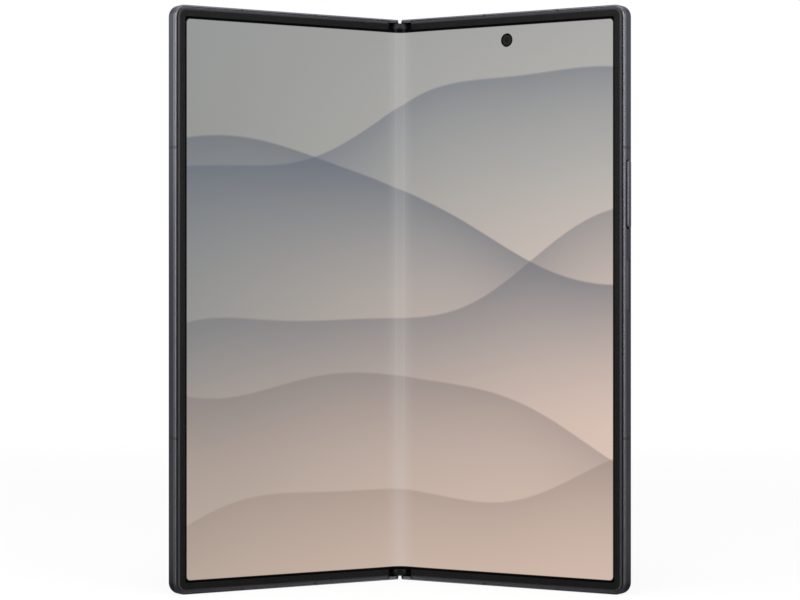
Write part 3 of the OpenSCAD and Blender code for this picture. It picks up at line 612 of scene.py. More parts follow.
# %% Flash lens and inner camera
RIDGE, RIDGE_RISE, EYE_RISE = 0.24, 0.035, 0.02
ridge_r = np.linspace(1.5, 0.06, 26)
ridge = RIDGE_RISE * (1 - (ridge_r / RIDGE) % 1) * (ridge_r > RIDGE) + EYE_RISE * (ridge_r <= RIDGE)
flash_profile = np.vstack([
    [[1.78, 3.4], [1.78, 4.13], [1.74, 4.18], [1.66, 4.2], [1.56, 4.2]],
    np.stack([ridge_r, 4.15 + ridge], -1),
])
flash = make_piece(
    "flash_window", [turned_part(flash_profile, RIGHT, flash_centre)], "flash_lens", ["flash_led"]
)
lay_pattern(flash, local_place(RIGHT, [flash_centre]))
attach(flash, "right_half")

TINY, TINY_FOOT, TINY_RISE = 0.62, 0.3, 0.06
lens_r = np.linspace(TINY, 0.04, 7)
inner_profile = np.vstack([
    [[1.86, 1.05], [1.86, 0.2], [1.83, 0.17], [1.5, 0.17], [1.47, 0.2], [1.44, 0.26], [0.8, 0.26],
     [0.78, TINY_FOOT], [0.66, TINY_FOOT]],
    np.stack([lens_r, TINY_FOOT - TINY_RISE * (1 - (lens_r / TINY) ** 2)], -1),
])
HOUSING, HOUSING_EDGE, housing_depths = 6.4 * MM, 0.4 * MM, (1.02 * MM, 3.4 * MM)
housing_outline = box_outline(*np.full((2, 2), HOUSING), HOUSING_EDGE)
housing = skin(upright(housing_outline, housing_depths, RIGHT, camera_centre))
inner_camera = make_piece(
    "inner_camera_unit", [turned_part(inner_profile, RIGHT, camera_centre), housing], "camera_black",
    ["inner_camera"],
)
lay_pattern(inner_camera, local_place(RIGHT, [camera_centre]))
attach(inner_camera, "right_half")

# %% [markdown]
# ## Keys
# The power key lies just below the side's surface, and the volume rocker stands out a little. Both
# are slot shapes with rounded edges, stacked from the hollow outward, with two plungers that reach
# the switches through the rail. The rocker also has the round rib that it tips on.

# %% Power key and volume rocker
PLUNGER, CAP_HOLLOW, PLUNGER_END = 0.45 * MM, 0.8 * MM, 0.75 * MM
rib_centre, rib_depths = (71 * MM, 107.5 * MM), (1.75 * MM, 2.75 * MM)


def sideways(outline, level, centre):
    """Rows of an outline that faces outward from the right side, one row for each level."""
    (level,) = column(level)
    return placed(level, centre[1] + outline[0], centre[2] + outline[1])


def key(node, plunger_gap, edge):
    """The key's cap, as wide and long as its solid, and its plungers as round bars."""
    low, high = flat_box(node)
    centre, (_, width, length) = (low + high) / 2, high - low
    draw, level = raised_rows(half_w - CAP_HOLLOW, high[0], edge)
    cap = skin(sideways(slot_outline(width - 2 * draw, length - 2 * draw, 16), level, centre))
    bars, reach = circle_outline(np.full(2, PLUNGER), 24), (low[0], half_w - PLUNGER_END)
    ends = [centre + np.array([0, 0, end * plunger_gap]) for end in (-1, 1)]
    return [cap] + [skin(sideways(bars, reach, end)) for end in ends]


power = make_piece("power_button", key("power_key", 4 * MM, 0.15 * MM), "key_metal", ["power_key"])
rib = bar(PLUNGER, rib_depths, RIGHT, rib_centre)
volume_parts = key("volume_rocker", 6 * MM, 0.24 * MM) + [rib]
volume = make_piece("volume_button", volume_parts, "key_metal", ["volume_rocker"])
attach(even_normals(power), "power_key")
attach(even_normals(volume), "volume_rocker")

# %% [markdown]
# ## Caps of the hinge
# A small cap closes each end of the spine. From the front it shows as a step: a low block in line
# with the rim, and a deeper one behind it. Each block's face is crowned across, like a barrel's, so
# that it darkens towards the slits at its sides. One section gives a whole block, repeated along z
# with rounded ends. The foot that plugs the spine is a slot shape cut off square at its front.

# %% End caps
cap_face, cap_step = -0.05 * MM, 0.2 * MM
cap_foot_z, cap_z, cap_step_z, cap_end_z = 154.55 * MM, 155.45 * MM, 156.85 * MM, 157.3 * MM
cap_half, CROWN, CAP_EDGE = 2.3 * MM, 0.7 * MM, 0.14 * MM
foot_size, foot_front = (3.36 * MM, 7.06 * MM), 1.05 * MM


def on_spine(x, depth, z, low):
    """Standing points on the spine, upside down about the middle for the lower end."""
    return np.stack(np.broadcast_arrays(x, spine_y + depth, body_h - z if low else z), axis=-1)


def cap_block(face, top_z, low):
    """Rows along z of one section: a front whose depth grows by the crown times the square of its
    share of the half width, and two corners behind it. The rows draw in at both ends."""
    draw, below = rounded_edge(CAP_EDGE, 4)
    z = np.concatenate([cap_z + below[::-1], top_z - below])[:, None]
    (draw,) = column(np.concatenate([draw[::-1], draw]))
    share = np.sin(np.linspace(-math.pi / 2, math.pi / 2, 25))
    front = face + draw + CROWN * share**2
    x = (cap_half - draw) * np.append(share, [1, -1])
    return skin(on_spine(x, np.hstack([front, np.full((len(z), 2), pin_depth)]), z, low))


def cap_foot(low):
    """A slot shape in plan whose front is held back to one depth."""
    p, q = slot_outline(*[np.full(2, size) for size in foot_size])
    depth = np.maximum(pin_depth + p, foot_front)
    return skin(on_spine(q, depth, np.array([[cap_foot_z], [cap_end_z]]), low))


for low, end in ((False, "top"), (True, "bottom")):
    blocks = [cap_block(cap_face, cap_step_z, low), cap_block(cap_step, cap_end_z, low), cap_foot(low)]
    made = make_piece("hinge_cap_" + end, blocks, "cap_plastic", ["hinge_end_cap_" + end])
    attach(even_normals(made), "spine")

# %% [markdown]
# ## Writing a material as arithmetic
# A pattern is a small sum: noise times a share, plus a colour. Written node by node, such a sum is
# long and hard to read, so one class wraps a socket and turns + - * / and comparisons into Math
# nodes. Every other node comes from one method that takes its type, its settings and its sockets.

# %% Sockets with arithmetic
def operator(operation, swapped=False):
    """A method that adds one Math node. Swapped, the other term comes first, as in 1 - mask."""

    def method(self, *others):
        terms = (*others, self) if swapped else (self, *others)
        return self.finish.add("Math", {"operation": operation}, dict(enumerate(terms)))

    return method


class Wire:
    """One output socket of a finish. Arithmetic on it adds the Math node that does it."""

    __add__ = __radd__ = operator("ADD")
    __mul__ = __rmul__ = operator("MULTIPLY")
    __sub__, __rsub__ = operator("SUBTRACT"), operator("SUBTRACT", swapped=True)
    __truediv__, __rtruediv__ = operator("DIVIDE"), operator("DIVIDE", swapped=True)
    __lt__, __gt__ = operator("LESS_THAN"), operator("GREATER_THAN")
    sine, size, root, at_least = map(operator, ("SINE", "ABSOLUTE", "SQRT", "MAXIMUM"))
    power_of_e = operator("EXPONENT")

    def __init__(self, finish, socket):
        self.finish, self.socket = finish, socket

    def out(self, name):
        """Another output of the same node."""
        return Wire(self.finish, self.socket.node.outputs[name])

    def falloff(self):
        """e to the power of minus this."""
        return (self * -1).power_of_e()

    def clip(self):
        """Held between 0 and 1."""
        return self.finish.add("Clamp", {}, {"Value": self})

    def rise(self, start, end):
        """0 at start, 1 at end, straight between them and held outside."""
        return ((self - start) / (end - start)).clip()


def colour(red, green, blue):
    """A colour written as on a screen, 0 to 255, as the linear values that sockets take."""
    share = np.array([red, green, blue]) / 255
    linear = np.where(share <= 0.04045, share / 12.92, ((share + 0.055) / 1.055) ** 2.4)
    return (*linear.tolist(), 1.0)


# %% [markdown]
# ## One class for a finish
# A finish is a material with one Principled shader. Its constant values go on the shader's own
# sockets, and what varies over the surface is linked. Coordinates come in millimetres, so a grain of
# a twentieth of a millimetre is written as 0.05 wherever it is used.

# %% The finish
class Finish:
    """A material being written, ending in one Principled shader, or the world's light."""

    def __init__(self, name, kind=bpy.data.materials):
        self.material = kind.new(name)
        self.material.use_nodes = True
        self.tree = self.material.node_tree
        self.tree.nodes.clear()

    def add(self, kind, settings=None, sockets=None, out=0):
        """Any node: its settings first (a ramp's stops among them), then socket values and links."""
        made = self.tree.nodes.new("ShaderNode" + kind)
        for key, value in (settings or {}).items():
            if key == "stops":
                self.set_stops(made.color_ramp, value)
            else:
                setattr(made, key, value)
        for key, value in (sockets or {}).items():
            if isinstance(value, Wire):
                self.tree.links.new(value.socket, made.inputs[key])
            else:
                made.inputs[key].default_value = value
        return Wire(self, made.outputs[out])

    def set_stops(self, ramp, stops):
        """A ramp's colours, each at its place from 0 to 1."""
        for _ in stops[2:]:
            ramp.elements.new(0.5)
        for element, (place, shade_of) in zip(ramp.elements, stops):
            element.position, element.color = place, colour(*shade_of)

    def where(self, coordinates="Object"):
        """The place on the object, or other coordinates."""
        return self.add("TexCoord", {}, {}, coordinates)

    def place(self, grain, centre=(0, 0, 0), turn=0):
        """Place on the object in grains of so many millimetres, about a centre, turned about z."""
        scale = (np.broadcast_to(grain, 3) * MM).tolist()
        sockets = {"Location": centre, "Rotation": (0, 0, turn), "Scale": scale}
        return self.add("Mapping", {"vector_type": "TEXTURE"}, {"Vector": self.where()} | sockets)

    def noise(self, grain, detail=3):
        """Soft noise from 0 to 1 whose spots are about one grain wide."""
        return self.add("TexNoise", {}, {"Vector": self.place(grain), "Scale": 1.0, "Detail": detail})

    def first(self, vector):
        """A vector's x; its out("Y") and out("Z") are the others."""
        return self.add("SeparateXYZ", {}, {"Vector": vector}, "X")

    def length(self, vector):
        """How long a vector is: on a round part's map, the distance from its axis."""
        return self.add("VectorMath", {"operation": "LENGTH"}, {0: vector}, "Value")

    def pattern(self):
        """The two lengths of the piece's own map."""
        return self.add("UVMap", {"uv_map": "pattern"})

    def mix(self, share, low, high):
        """Two colours mixed by a share: each is a wire, or three numbers as on a screen."""
        low, high = [c if isinstance(c, Wire) else colour(*c) for c in (low, high)]
        return self.add("Mix", {"data_type": "RGBA"}, {0: share, 6: low, 7: high}, 2)

    def bump(self, height, depth):
        """A normal from a height between 0 and 1 that stands for so many millimetres."""
        return self.add("Bump", {}, {"Height": height, "Distance": depth * MM, "Strength": 1.0})

    def end(self, **sockets):
        """The shader and the output. Names are the sockets' own, with underscores."""
        named = {key.replace("_", " "): value for key, value in sockets.items()}
        shader = self.add("BsdfPrincipled", {}, named)
        self.add_output(shader)
        print("finish", self.material.name, len(self.tree.nodes), "nodes")
        return self.material

    def add_output(self, shader, kind="Material"):
        """The output node, linked to a shader."""
        target = self.tree.nodes.new("ShaderNodeOutput" + kind)
        self.tree.links.new(shader.socket, target.inputs["Surface"])


finishes = {}

# %% [markdown]
# ## Satin metal of the frame
# The frame is anodised aluminium, a dark grey, blasted with fine beads and then dyed. Up close it is a
# fine even grain; from further off its colour varies a little. Its front edge beside the display is
# painted paler: a painted highlight where the rounded edge catches the lamps. Keys and card tray are
# brushed lengthwise, and the keys carry the same painted highlight on their front edge. The windows for
# the aerials are plastic, painted to match the metal, and come out a shade darker, with a painted
# highlight on their front edge too.

# %% Frame, keys and tray
def edge_highlight_share(metal, start, end):
    """Share of the painted highlight: 1 at depths in a half up to one depth, and 0 past another. The
    depth below the display's face is the turn about the pin undone: its share of x times the sine, of y
    times the cosine."""
    x = metal.first(metal.where())
    depth = (x.size() - pin_x) * SIN + (x.out("Y") - pin_y) * COS + pin_depth
    return 1 - depth.rise(start * MM, end * MM)


def satin_metal(name, dark, light, roughness, edge=None, grain=0.05):
    """A dyed metal: slow and quick noise share the colour, and a fine grain moves the normal. The edge
    is a painted highlight: a paler colour, and the two depths between which it fades into the rest."""
    metal = Finish(name)
    slow, quick, fine = metal.noise(7.0), metal.noise(0.22), metal.noise(grain, 2)
    tone = (slow * 0.65 + quick * 0.35).rise(0.3, 0.7)
    dye = metal.mix(tone, dark, light)
    if edge:
        pale, start, end = edge
        # painted highlight: the shallow front edge is mixed towards a paler colour
        dye = metal.mix(edge_highlight_share(metal, start, end) * (0.9 + fine * 0.2), dye, pale)
    return metal.end(
        Base_Color=dye,
        Metallic=1.0,
        Roughness=roughness - 0.04 + quick * 0.05 + fine * 0.04,
        Specular_Tint=colour(224, 225, 231),
        Normal=metal.bump(fine, 0.0016),
    )


# paler colours painted on front edges as painted highlights: one for the frame and keys, one for the
# aerial windows
PAINTED_EDGE_HIGHLIGHT, PAINTED_WINDOW_EDGE_HIGHLIGHT = (108, 108, 114), (88, 88, 92)
upright_grain, level_grain = (0.05, 0.05, 0.9), (0.9, 0.05, 0.05)
finishes.update(
    frame_metal=satin_metal("satin_frame", (39, 39, 43), (45, 45, 49), 0.34, (PAINTED_EDGE_HIGHLIGHT, 0.6, 0.95)),
    key_metal=satin_metal(
        "brushed_keys", (48, 48, 52), (54, 54, 59), 0.3, (PAINTED_EDGE_HIGHLIGHT, 1.5, 1.7), upright_grain
    ),
    tray_metal=satin_metal("brushed_tray", (58, 57, 61), (66, 65, 70), 0.36, None, level_grain),
    ring_metal=satin_metal("dark_rings", (34, 34, 39), (44, 44, 50), 0.27),
    break_plastic=satin_metal(
        "aerial_windows", (30, 30, 33), (34, 34, 37), 0.38, (PAINTED_WINDOW_EDGE_HIGHLIGHT, 0.6, 0.95)
    ),
)

# %% [markdown]
# ## Steels of the hinge
# The hinge's arms are pressed and ground, so fine lines run along them. The pins and springs are
# polished, with a touch of colour from hardening. Plates under the display are rolled sheet, brushed
# from top to bottom. One recipe serves all: only its colours, its lines and its polish differ.

# %% Steels
def ground_steel(name, dark, light, roughness, lines, depth=0.002):
    """Bare steel: long thin noise gives the lines, which shift colour, roughness and normal."""
    steel = Finish(name)
    line, stain = steel.noise(lines, 4), steel.noise(3.0)
    return steel.end(
        Base_Color=steel.mix((line * 0.6 + stain * 0.4).rise(0.32, 0.68), dark, light),
        Metallic=1.0,
        Roughness=roughness + line * 0.1 - 0.05,
        Normal=steel.bump(line, depth),
    )


for slot, *recipe in (
    ("hinge_steel", "ground_arms", (128, 130, 134), (168, 170, 174), 0.34, (0.06, 0.06, 1.5)),
    ("bright_steel", "polished_pins", (178, 180, 184), (206, 208, 210), 0.16, (0.4, 0.4, 0.05), 0.0006),
    ("plate_steel", "rolled_plates", (104, 106, 110), (134, 136, 140), 0.38, (0.08, 0.08, 4.0)),
    ("magnet_metal", "nickel_magnets", (168, 166, 160), (190, 188, 182), 0.26, 0.5, 0.0008),
    ("module_metal", "tinned_cans", (160, 162, 166), (192, 194, 197), 0.32, (0.9, 0.07, 0.07)),
    ("port_metal", "port_shell", (116, 117, 122), (146, 147, 152), 0.28, (0.06, 0.06, 1.0)),
):
    finishes[slot] = ground_steel(*recipe)

# %% [markdown]
# ## Black plastics
# The rim round the display is a soft matt plastic with a very fine grain, painted a little paler on its
# shoulder beside the metal as a painted highlight. The hinge caps are the same, with no shoulder, and
# their foot, which lies deep in the slits, is rough and painted black: painted shade in the slits.
# Inside, modules are moulded in a coarser black.

# %% Plastics
# painted shade: past these depths in the spine the caps' foot is painted black, where the slits are in
# shade
SHADE_START_DEPTH, SHADE_FULL_DEPTH = 0.75 * MM, 0.85 * MM
PAINTED_SHADE_BLACK = (2, 2, 3)


def moulded(name, dark, light, roughness, grain, depth, gloss=0.5, shoulder=None, foot=False):
    """Moulded plastic: a fine grain from cell noise moves the normal, and its colour varies a little.
    On request its map's first length gives a paler shoulder, a painted highlight, or all beyond one
    depth is rougher and painted black, as painted shade in a recess."""
    plastic = Finish(name)
    spots = {"Vector": plastic.place(grain), "Scale": 1.0}
    cells = plastic.add("TexVoronoi", {}, spots, "Distance")
    tone = plastic.mix((plastic.noise(1.6) + cells * 0.2).rise(0.35, 0.8), dark, light)
    rough = roughness + cells * 0.08 - 0.04
    if shoulder:
        # painted highlight: the shoulder beside the metal is mixed towards a paler colour
        tone = plastic.mix(1 - plastic.first(plastic.pattern()).rise(0.3, 0.62), tone, shoulder)
    if foot:
        # painted shade: black mixed in past one depth, where the foot lies deep in the slits
        painted_shade = plastic.first(plastic.where()).out("Y").rise(spine_y + SHADE_START_DEPTH, spine_y + SHADE_FULL_DEPTH)
        tone, rough = plastic.mix(painted_shade, tone, PAINTED_SHADE_BLACK), rough + painted_shade * 0.6
    return plastic.end(
        Base_Color=tone,
        Roughness=rough,
        Specular_IOR_Level=gloss,
        Normal=plastic.bump(cells, depth),
    )


# (48, 47, 50) is the rim's painted highlight on its shoulder; foot=True paints the caps' foot black as
# painted shade
finishes.update(
    bezel_plastic=moulded("soft_rim", (9, 9, 10), (14, 14, 15), 0.4, 0.06, 0.003, 0.18, (48, 47, 50)),
    cap_plastic=moulded("hinge_caps", (8, 8, 9), (12, 12, 13), 0.3, 0.07, 0.001, 0.15, foot=True),
    module_plastic=moulded("moulded_modules", (26, 27, 29), (38, 39, 42), 0.5, 0.16, 0.008),
)

# %% [markdown]
# ## The lit display
# The display shows a picture of the phone's own making: calm layers of dunes under a pale sky that
# turns from grey to warm sand. Each dune has a wavy crest, a sum of two sines; just below the crest
# its shade is deepest, and it fades downward. The sky is two colour ramps, one for each side edge.

# %% Sky and dunes
# in decimetres, as the display's map: half width, bottom, top and corner radius of the lit area
lit_x, lit_low, lit_high, lit_corner = 0.6808, 0.0386, 1.5460, 0.010
CREST_EDGE = 0.006
SKY_LEFT = [
    (0.0, (196, 178, 164)), (0.22, (186, 171, 160)), (0.45, (156, 154, 149)),
    (0.7, (150, 151, 149)), (1.0, (150, 152, 151)),
]
SKY_RIGHT = [
    (0.0, (226, 200, 184)), (0.3, (232, 206, 191)), (0.52, (216, 199, 188)),
    (0.75, (188, 184, 178)), (1.0, (171, 170, 168)),
]
# height, slope, (size, waves, shift) of two sines, how far the shade reaches, its colour, its share
DUNES = [
    (1.30, 0.16, (0.070, 4.1, 0.4), (0.016, 9.7, 1.0), 0.20, (104, 112, 124), 0.62),
    (1.06, -0.20, (0.085, 3.4, 2.6), (0.014, 8.3, 0.2), 0.24, (98, 106, 118), 0.66),
    (0.80, 0.22, (0.075, 4.7, 4.4), (0.018, 9.1, 2.2), 0.26, (112, 113, 120), 0.55),
    (0.52, -0.16, (0.080, 3.8, 1.1), (0.015, 8.8, 4.0), 0.24, (128, 120, 118), 0.5),
    (0.26, 0.14, (0.060, 4.4, 3.3), (0.012, 9.9, 0.9), 0.2, (150, 132, 122), 0.45),
]


def dune_picture(finish, across, up):
    """The sky mixed between its two edges, then each dune from back to front: the share of its
    shade is 1 below the crest and falls off with depth below it."""
    height = up.rise(lit_low, lit_high)
    skies = [finish.add("ValToRGB", {"stops": sky}, {"Fac": height}) for sky in (SKY_LEFT, SKY_RIGHT)]
    picture = finish.mix(across.rise(-lit_x, lit_x), *skies)
    for level, slope, wave, ripple, reach, shade_colour, share in DUNES:
        crest = level + across * slope
        for size, waves, shift in (wave, ripple):
            crest = crest + (across * waves + shift).sine() * size
        below = crest - up
        shade_share = below.rise(0, CREST_EDGE) * (below / reach).falloff() * share
        picture = finish.mix(shade_share, picture, shade_colour)
    return picture


# %% [markdown]
# The picture ends in a black border with softly rounded corners. How far a place lies outside the
# lit area is the distance to a rounded box: the part beyond the inner box, less the corner's radius.
# A faint painted highlight runs down the fold: the picture is mixed towards a pale grey there, in place
# of the lamps' reflection in the bend. The film on top reflects little.

# %% The display's finish
LIT_EDGE = 0.0008
FOLD_HIGHLIGHT, FOLD_HIGHLIGHT_NARROW = 0.10, 1100


def lit_share(finish, across, up):
    """1 inside the lit area and 0 outside, from the distance to a rounded box."""
    middle, half_high = (lit_low + lit_high) / 2, (lit_high - lit_low) / 2
    out_x = (across.size() - (lit_x - lit_corner)).at_least(0)
    out_z = ((up - middle).size() - (half_high - lit_corner)).at_least(0)
    distance = (out_x * out_x + out_z * out_z).root()
    return 1 - distance.rise(lit_corner - LIT_EDGE, lit_corner + LIT_EDGE)


screen = Finish("lit_display")
across = screen.first(screen.pattern())
up = across.out("Y")
# painted highlight: a narrow pale band down the fold line, mixed into the emitted picture
painted_fold_highlight = (across * across * FOLD_HIGHLIGHT_NARROW).falloff() * FOLD_HIGHLIGHT
picture = screen.mix(painted_fold_highlight, dune_picture(screen, across, up), (236, 236, 234))
film = screen.noise(1.4, 2)
finishes["inner_display"] = screen.end(
    Base_Color=screen.mix(film, (3, 3, 4), (6, 6, 7)),
    Roughness=0.1 + film * 0.04,
    Specular_IOR_Level=0.05,
    Emission_Color=screen.mix(lit_share(screen, across, up), (0, 0, 0), picture),
    Emission_Strength=1.0,
    Normal=screen.bump(film, 0.002),
)

# %% [markdown]
# ## Glass
# The cover display's pane is clear glass over a switched-off black panel, so it is painted as one
# black with a strong polish, and a tiny round camera near its top. The back pane is etched to a
# satin, which breaks its shine into a fine sparkle. Island and lenses are polished again.

# %% Panes
def polished_glass(name, deep, pale, roughness):
    """Coloured glass: a slow tint, a faint unevenness of the polish, and a clear coat."""
    glass = Finish(name)
    tint, smear = glass.noise(5.0), glass.noise(0.8, 4)
    return glass.end(
        Base_Color=glass.mix(tint.rise(0.3, 0.7), deep, pale),
        Roughness=roughness + smear * 0.05,
        Coat_Weight=0.9 + smear * 0.1,
        Coat_Roughness=0.03,
        Normal=glass.bump(smear, 0.0015),
    )


finishes["island_glass"] = polished_glass("island_block", (14, 14, 16), (20, 20, 23), 0.12)
finishes["cover_panel"] = polished_glass("dark_panel", (8, 8, 10), (12, 12, 14), 0.2)

etched = Finish("etched_back")
sparkle, cloud = etched.noise(0.09, 2), etched.noise(14.0)
finishes["rear_glass"] = etched.end(
    Base_Color=etched.mix(cloud.rise(0.3, 0.7), (60, 60, 66), (64, 64, 70)),
    Metallic=0.25,
    Roughness=0.34 + sparkle * 0.12,
    Coat_Weight=0.25 + cloud * 0.1,
    Coat_Roughness=0.3,
    Normal=etched.bump(sparkle, 0.0025),
)

pane_glass = Finish("cover_pane")
away, smear = pane_glass.length(pane_glass.pattern()), pane_glass.noise(0.9, 4)
collar = (away < 1.95) * (away > 1.6)
pupil = away < 0.62
iris = (away < 1.05) * (away > 0.95)
base = pane_glass.mix(smear, (7, 7, 9), (11, 11, 13))
with_collar = pane_glass.mix(collar * 0.8, base, (26, 26, 29))
with_iris = pane_glass.mix(iris * 0.7, with_collar, (24, 26, 32))
finishes["cover_glass"] = pane_glass.end(
    Base_Color=pane_glass.mix(pupil, with_iris, (22, 30, 54)),
    Roughness=0.06 + smear * 0.04,
    Coat_Weight=0.9 + smear * 0.1,
    Coat_Roughness=0.02,
    Normal=pane_glass.bump(smear, 0.001),
)

# %% [markdown]
# ## Lenses
# A lens has a coating that shifts from deep blue in the middle to plum at its edge, round a black
# throat. All three and the inner camera read the distance from their own axis out of their map. The
# inner camera is a very dark grey disc in a black collar, darker again where its tiny lens sits.

# %% Lenses and cameras
def ringed(name, stops, reach, roughness, coat, gloss=0.5):
    """Colours by distance from the axis, over so many millimetres, and a clear polish."""
    lens = Finish(name)
    away, dust = lens.length(lens.pattern()), lens.noise(0.15, 2)
    rings_of_colour = lens.add("ValToRGB", {"stops": stops}, {"Fac": away / reach})
    return lens.end(
        Base_Color=lens.mix(dust * 0.25, rings_of_colour, (12, 12, 13)),
        Roughness=roughness + dust * 0.04,
        Specular_IOR_Level=gloss,
        Coat_Weight=coat + dust * 0.05,
        Coat_Roughness=0.03,
        Normal=lens.bump(dust, 0.0008),
    )


BLACK = (5, 5, 6)
LENS_REACH, CAMERA_REACH = 5.1, 1.9
finishes["lens_glass"] = ringed("coated_lenses", [
    (0.0, (18, 30, 66)), (0.22, (24, 34, 78)), (0.4, (52, 30, 72)), (0.46, BLACK),
    (0.53, BLACK), (0.54, (22, 22, 24)), (0.58, BLACK), (0.7, (16, 16, 18)), (1.0, BLACK),
], LENS_REACH, roughness=0.05, coat=0.9)
finishes["camera_black"] = ringed("camera_unit", [
    (0.0, (20, 21, 24)), (0.2, (26, 27, 29)), (0.32, (20, 20, 21)),
    (0.36, (33, 33, 34)), (0.7, (34, 34, 35)), (0.75, (24, 24, 25)), (0.78, BLACK),
    (1.0, BLACK),
], CAMERA_REACH, roughness=0.3, coat=0.0, gloss=0.03)

# %% [markdown]
# ## Flash, cables, coil, battery and boards
# Small things inside the body each get a finish of their own: a pale yellow flash, amber cables with
# copper tracks, a wound coil, a wrapped battery and green boards with tracks and tinned dots. They
# show only when the phone is taken apart, but a part from a library may well be.

# %% Small finishes inside
phosphor = Finish("flash_phosphor")
away, speck = phosphor.length(phosphor.pattern()), phosphor.noise(0.12)
finishes["flash_lens"] = phosphor.end(
    Base_Color=phosphor.mix(
        (away.rise(0.5, 1.1) + speck * 0.2).clip(), (238, 222, 140), (232, 229, 214)
    ),
    Roughness=0.14 + speck * 0.06,
    Coat_Weight=0.7 + speck * 0.2,
    Normal=phosphor.bump(speck, 0.001),
)

TRACK_PITCH, WIRE_PITCH = 0.5, 0.55
amber = Finish("amber_ribbon")
up = amber.first(amber.pattern()).out("Y")
tracks = (up * (100 * 2 * math.pi / TRACK_PITCH)).sine().rise(0.1, 0.4)
film = amber.noise(0.4)
finishes["flex_film"] = amber.end(
    Base_Color=amber.mix(tracks, amber.mix(film, (126, 78, 28), (146, 92, 36)), (176, 112, 66)),
    Roughness=0.34 + film * 0.08,
    Normal=amber.bump(tracks, 0.006),
)

coil = Finish("wound_coil")
coil_centre = placed(39 * MM, 3.5 * MM, 65 * MM)
away = coil.length(coil.place((1, 50, 1), coil_centre.tolist(), -rest_angle))
turns = (away * (2 * math.pi / WIRE_PITCH)).sine() * 0.5 + 0.5
finishes["coil_copper"] = coil.end(
    Base_Color=coil.mix(turns, (120, 66, 32), (196, 122, 72)),
    Metallic=turns.rise(0.1, 0.4),
    Roughness=0.26 + coil.noise(0.5) * 0.08,
    Normal=coil.bump(turns, 0.04),
)

wrap = Finish("battery_wrap")
crease, weave = wrap.noise((9.0, 9.0, 2.5), 4), wrap.noise(0.12, 2)
finishes["battery_foil"] = wrap.end(
    Base_Color=wrap.mix(crease, (36, 38, 43), (52, 54, 60)),
    Metallic=0.55 + crease * 0.1,
    Roughness=0.36 + weave * 0.1,
    Normal=wrap.bump(crease, 0.12),
)

board = Finish("green_board")
blocks = board.add(
    "TexVoronoi", {"distance": "MANHATTAN", "feature": "F1"},
    {"Vector": board.place(1.9), "Scale": 1.0, "Randomness": 0.8}, "Distance",
)
dots = blocks < 0.16
lanes = (blocks * 26).sine().rise(0.2, 0.5)
lacquer = board.mix(lanes, (18, 62, 42), (30, 92, 60))
finishes["circuit_board"] = board.end(
    Base_Color=board.mix(dots, lacquer, (186, 184, 176)),
    Metallic=dots * 0.9,
    Roughness=0.4 - dots * 0.12,
    Normal=board.bump(lanes + dots, 0.02),
)

# %% [markdown]
# ## Every surface gets its finish
# The record says which slot each solid takes its finish from, and each new piece has named its own.
# So one pass covers both, and a slot that nobody has written a finish for would stop the script
# here instead of showing up as a grey part.

# %% Hand the finishes out
slot_of = {part["node"]: part["material_slot"] for part in frame["record"]["subparts"]}
for name, node in frame["nodes"].items():
    for material_slot in node.material_slots:
        material_slot.material = finishes[slot_of[name]]
new_pieces = [o for o in bpy.context.scene.objects if "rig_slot" in o and o.name not in frame["nodes"]]
for piece in new_pieces:
    piece.data.materials.clear()
    piece.data.materials.append(finishes[piece["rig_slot"]])
print(len(finishes), "finishes on", len(frame["nodes"]), "solids and", len(new_pieces), "new pieces")

# %% [markdown]
# ## Floor and light
# The phone stands on white. The floor is a wide sheet that shines as white for the camera, mixed
# near the phone with a matt white that takes its shadow, and the world is white in the same way. In
# reflections, floor and world are white behind the phone, as a backdrop is, and dim in front of it,
# as the room is that the camera stands in. That keeps the black rim and the display's border dark.

# %% Floor and world
FLOOR_REACH = 6.0
DIM = 0.16
NEAR_WHITE = 0.86
WHITE = (1, 1, 1, 1)


def seen_by(finish):
    """Two shares: 1 for what the camera sees, and 1 for what glossy or clear things show."""
    path = finish.add("LightPath", {}, {}, "Is Camera Ray")
    return path, (path.out("Is Glossy Ray") + path.out("Is Transmission Ray")).clip() * (1 - path)


def behind(finish, coordinates, start, end):
    """0 in front of the phone, 1 behind it, by the y of a place on the floor or of a direction."""
    return finish.first(finish.where(coordinates)).out("Y").rise(start, end)


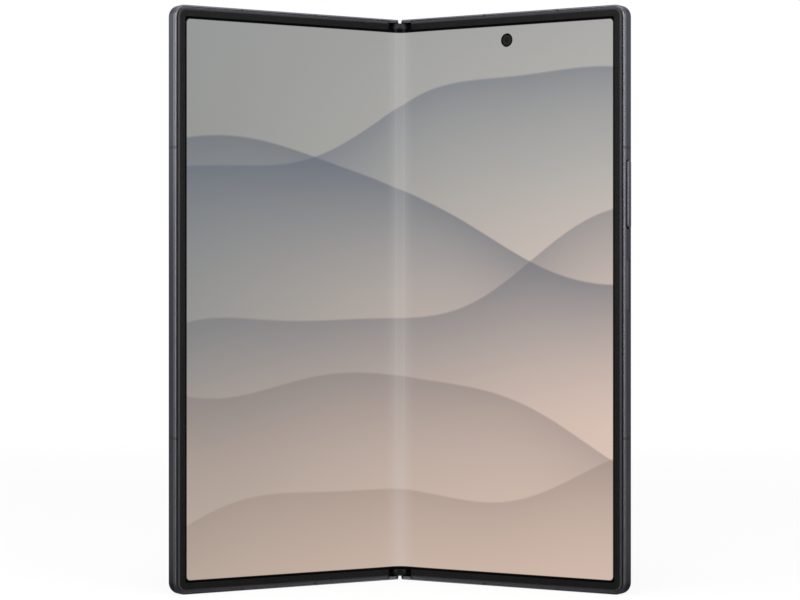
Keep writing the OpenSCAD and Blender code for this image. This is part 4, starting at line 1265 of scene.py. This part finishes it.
paper = Finish("white_floor")
fibres, (direct, reflected) = paper.noise(40.0), seen_by(paper)
matt = paper.add("BsdfDiffuse", {}, {"Color": paper.mix(fibres, (250, 250, 250), (254, 254, 254))})
white = paper.add("Emission", {}, {"Color": WHITE, "Strength": 1.0})
dim = paper.add("Emission", {}, {"Color": WHITE, "Strength": DIM})
bright = (direct + behind(paper, "Object", -0.02, 0.03)).clip()
lit = paper.add("MixShader", {}, {0: bright, 1: dim, 2: white})
away = paper.length(paper.where())
plain = direct * (NEAR_WHITE + away.rise(0.1, 0.7) * (1 - NEAR_WHITE))
paper.add_output(paper.add("MixShader", {}, {0: plain + reflected, 1: matt, 2: lit}))
corners = np.array([[-1, -1, 0], [1, -1, 0], [1, 1, 0], [-1, 1, 0]]) * FLOOR_REACH
floor_mesh = bpy.data.meshes.new("floor")
floor_mesh.from_pydata(corners, [], [[0, 1, 2, 3]])
floor_mesh.materials.append(paper.material)
floor = add_object("floor", floor_mesh)
print("floor reaches", FLOOR_REACH, "m each way")

ROOM_LIGHT = 0.45
studio = Finish("studio", bpy.data.worlds)
bpy.context.scene.world = studio.material
direct, reflected = seen_by(studio)
backdrop = DIM + behind(studio, "Generated", -0.4, 0.1) * (1 - DIM)
level = direct + reflected * backdrop + (1 - direct - reflected) * ROOM_LIGHT
studio.add_output(studio.add("Background", {}, {"Color": WHITE, "Strength": level}), "World")
print("light on matt surfaces from all round", ROOM_LIGHT)

# %% [markdown]
# Two tall soft boxes stand in front, on both sides of the camera, and draw an even line of light
# down the rounded front edges. A strip above the camera's view is near enough to be stronger at the
# top, so that line fades downward. A weaker lamp beside each half does the same for the outer faces
# of the rails, and one overhead lights the top edges.

# %% Lamps
def soft_lamp(name, place, aim, width, height, watts):
    """A rectangular lamp at a place, turned to face its aim."""
    lamp = add_object(name, bpy.data.lights.new(name, "AREA"))
    lamp.data.shape, lamp.data.size, lamp.data.size_y = "RECTANGLE", width, height
    lamp.data.energy = watts
    lamp.location = place
    toward = np.array(aim, float) - np.array(place, float)
    flat = math.hypot(toward[0], toward[1])
    lamp.rotation_euler = (math.atan2(flat, -toward[2]), 0, math.atan2(-toward[0], toward[1]))
    print(name, watts, "W from", np.round(np.linalg.norm(toward), 2), "m")


for side, half in SIDES:
    soft_lamp(half + "_soft_box", (side * 0.33, -0.48, 0.15), (side * 0.06, 0, 0.07), 0.18, 0.36, 0.85)
soft_lamp("top_strip", (0, -0.42, 0.285), (0, 0, 0.14), 0.56, 0.12, 1.1)
soft_lamp("left_lamp", (-0.38, 0.07, 0.205), (-0.06, 0, 0.13), 0.3, 0.16, 0.33)
soft_lamp("right_lamp", (0.38, 0.07, 0.205), (0.06, 0, 0.13), 0.3, 0.16, 0.15)
soft_lamp("overhead", (0, -0.1, 0.45), (0, 0, 0.15), 0.5, 0.25, 0.6)
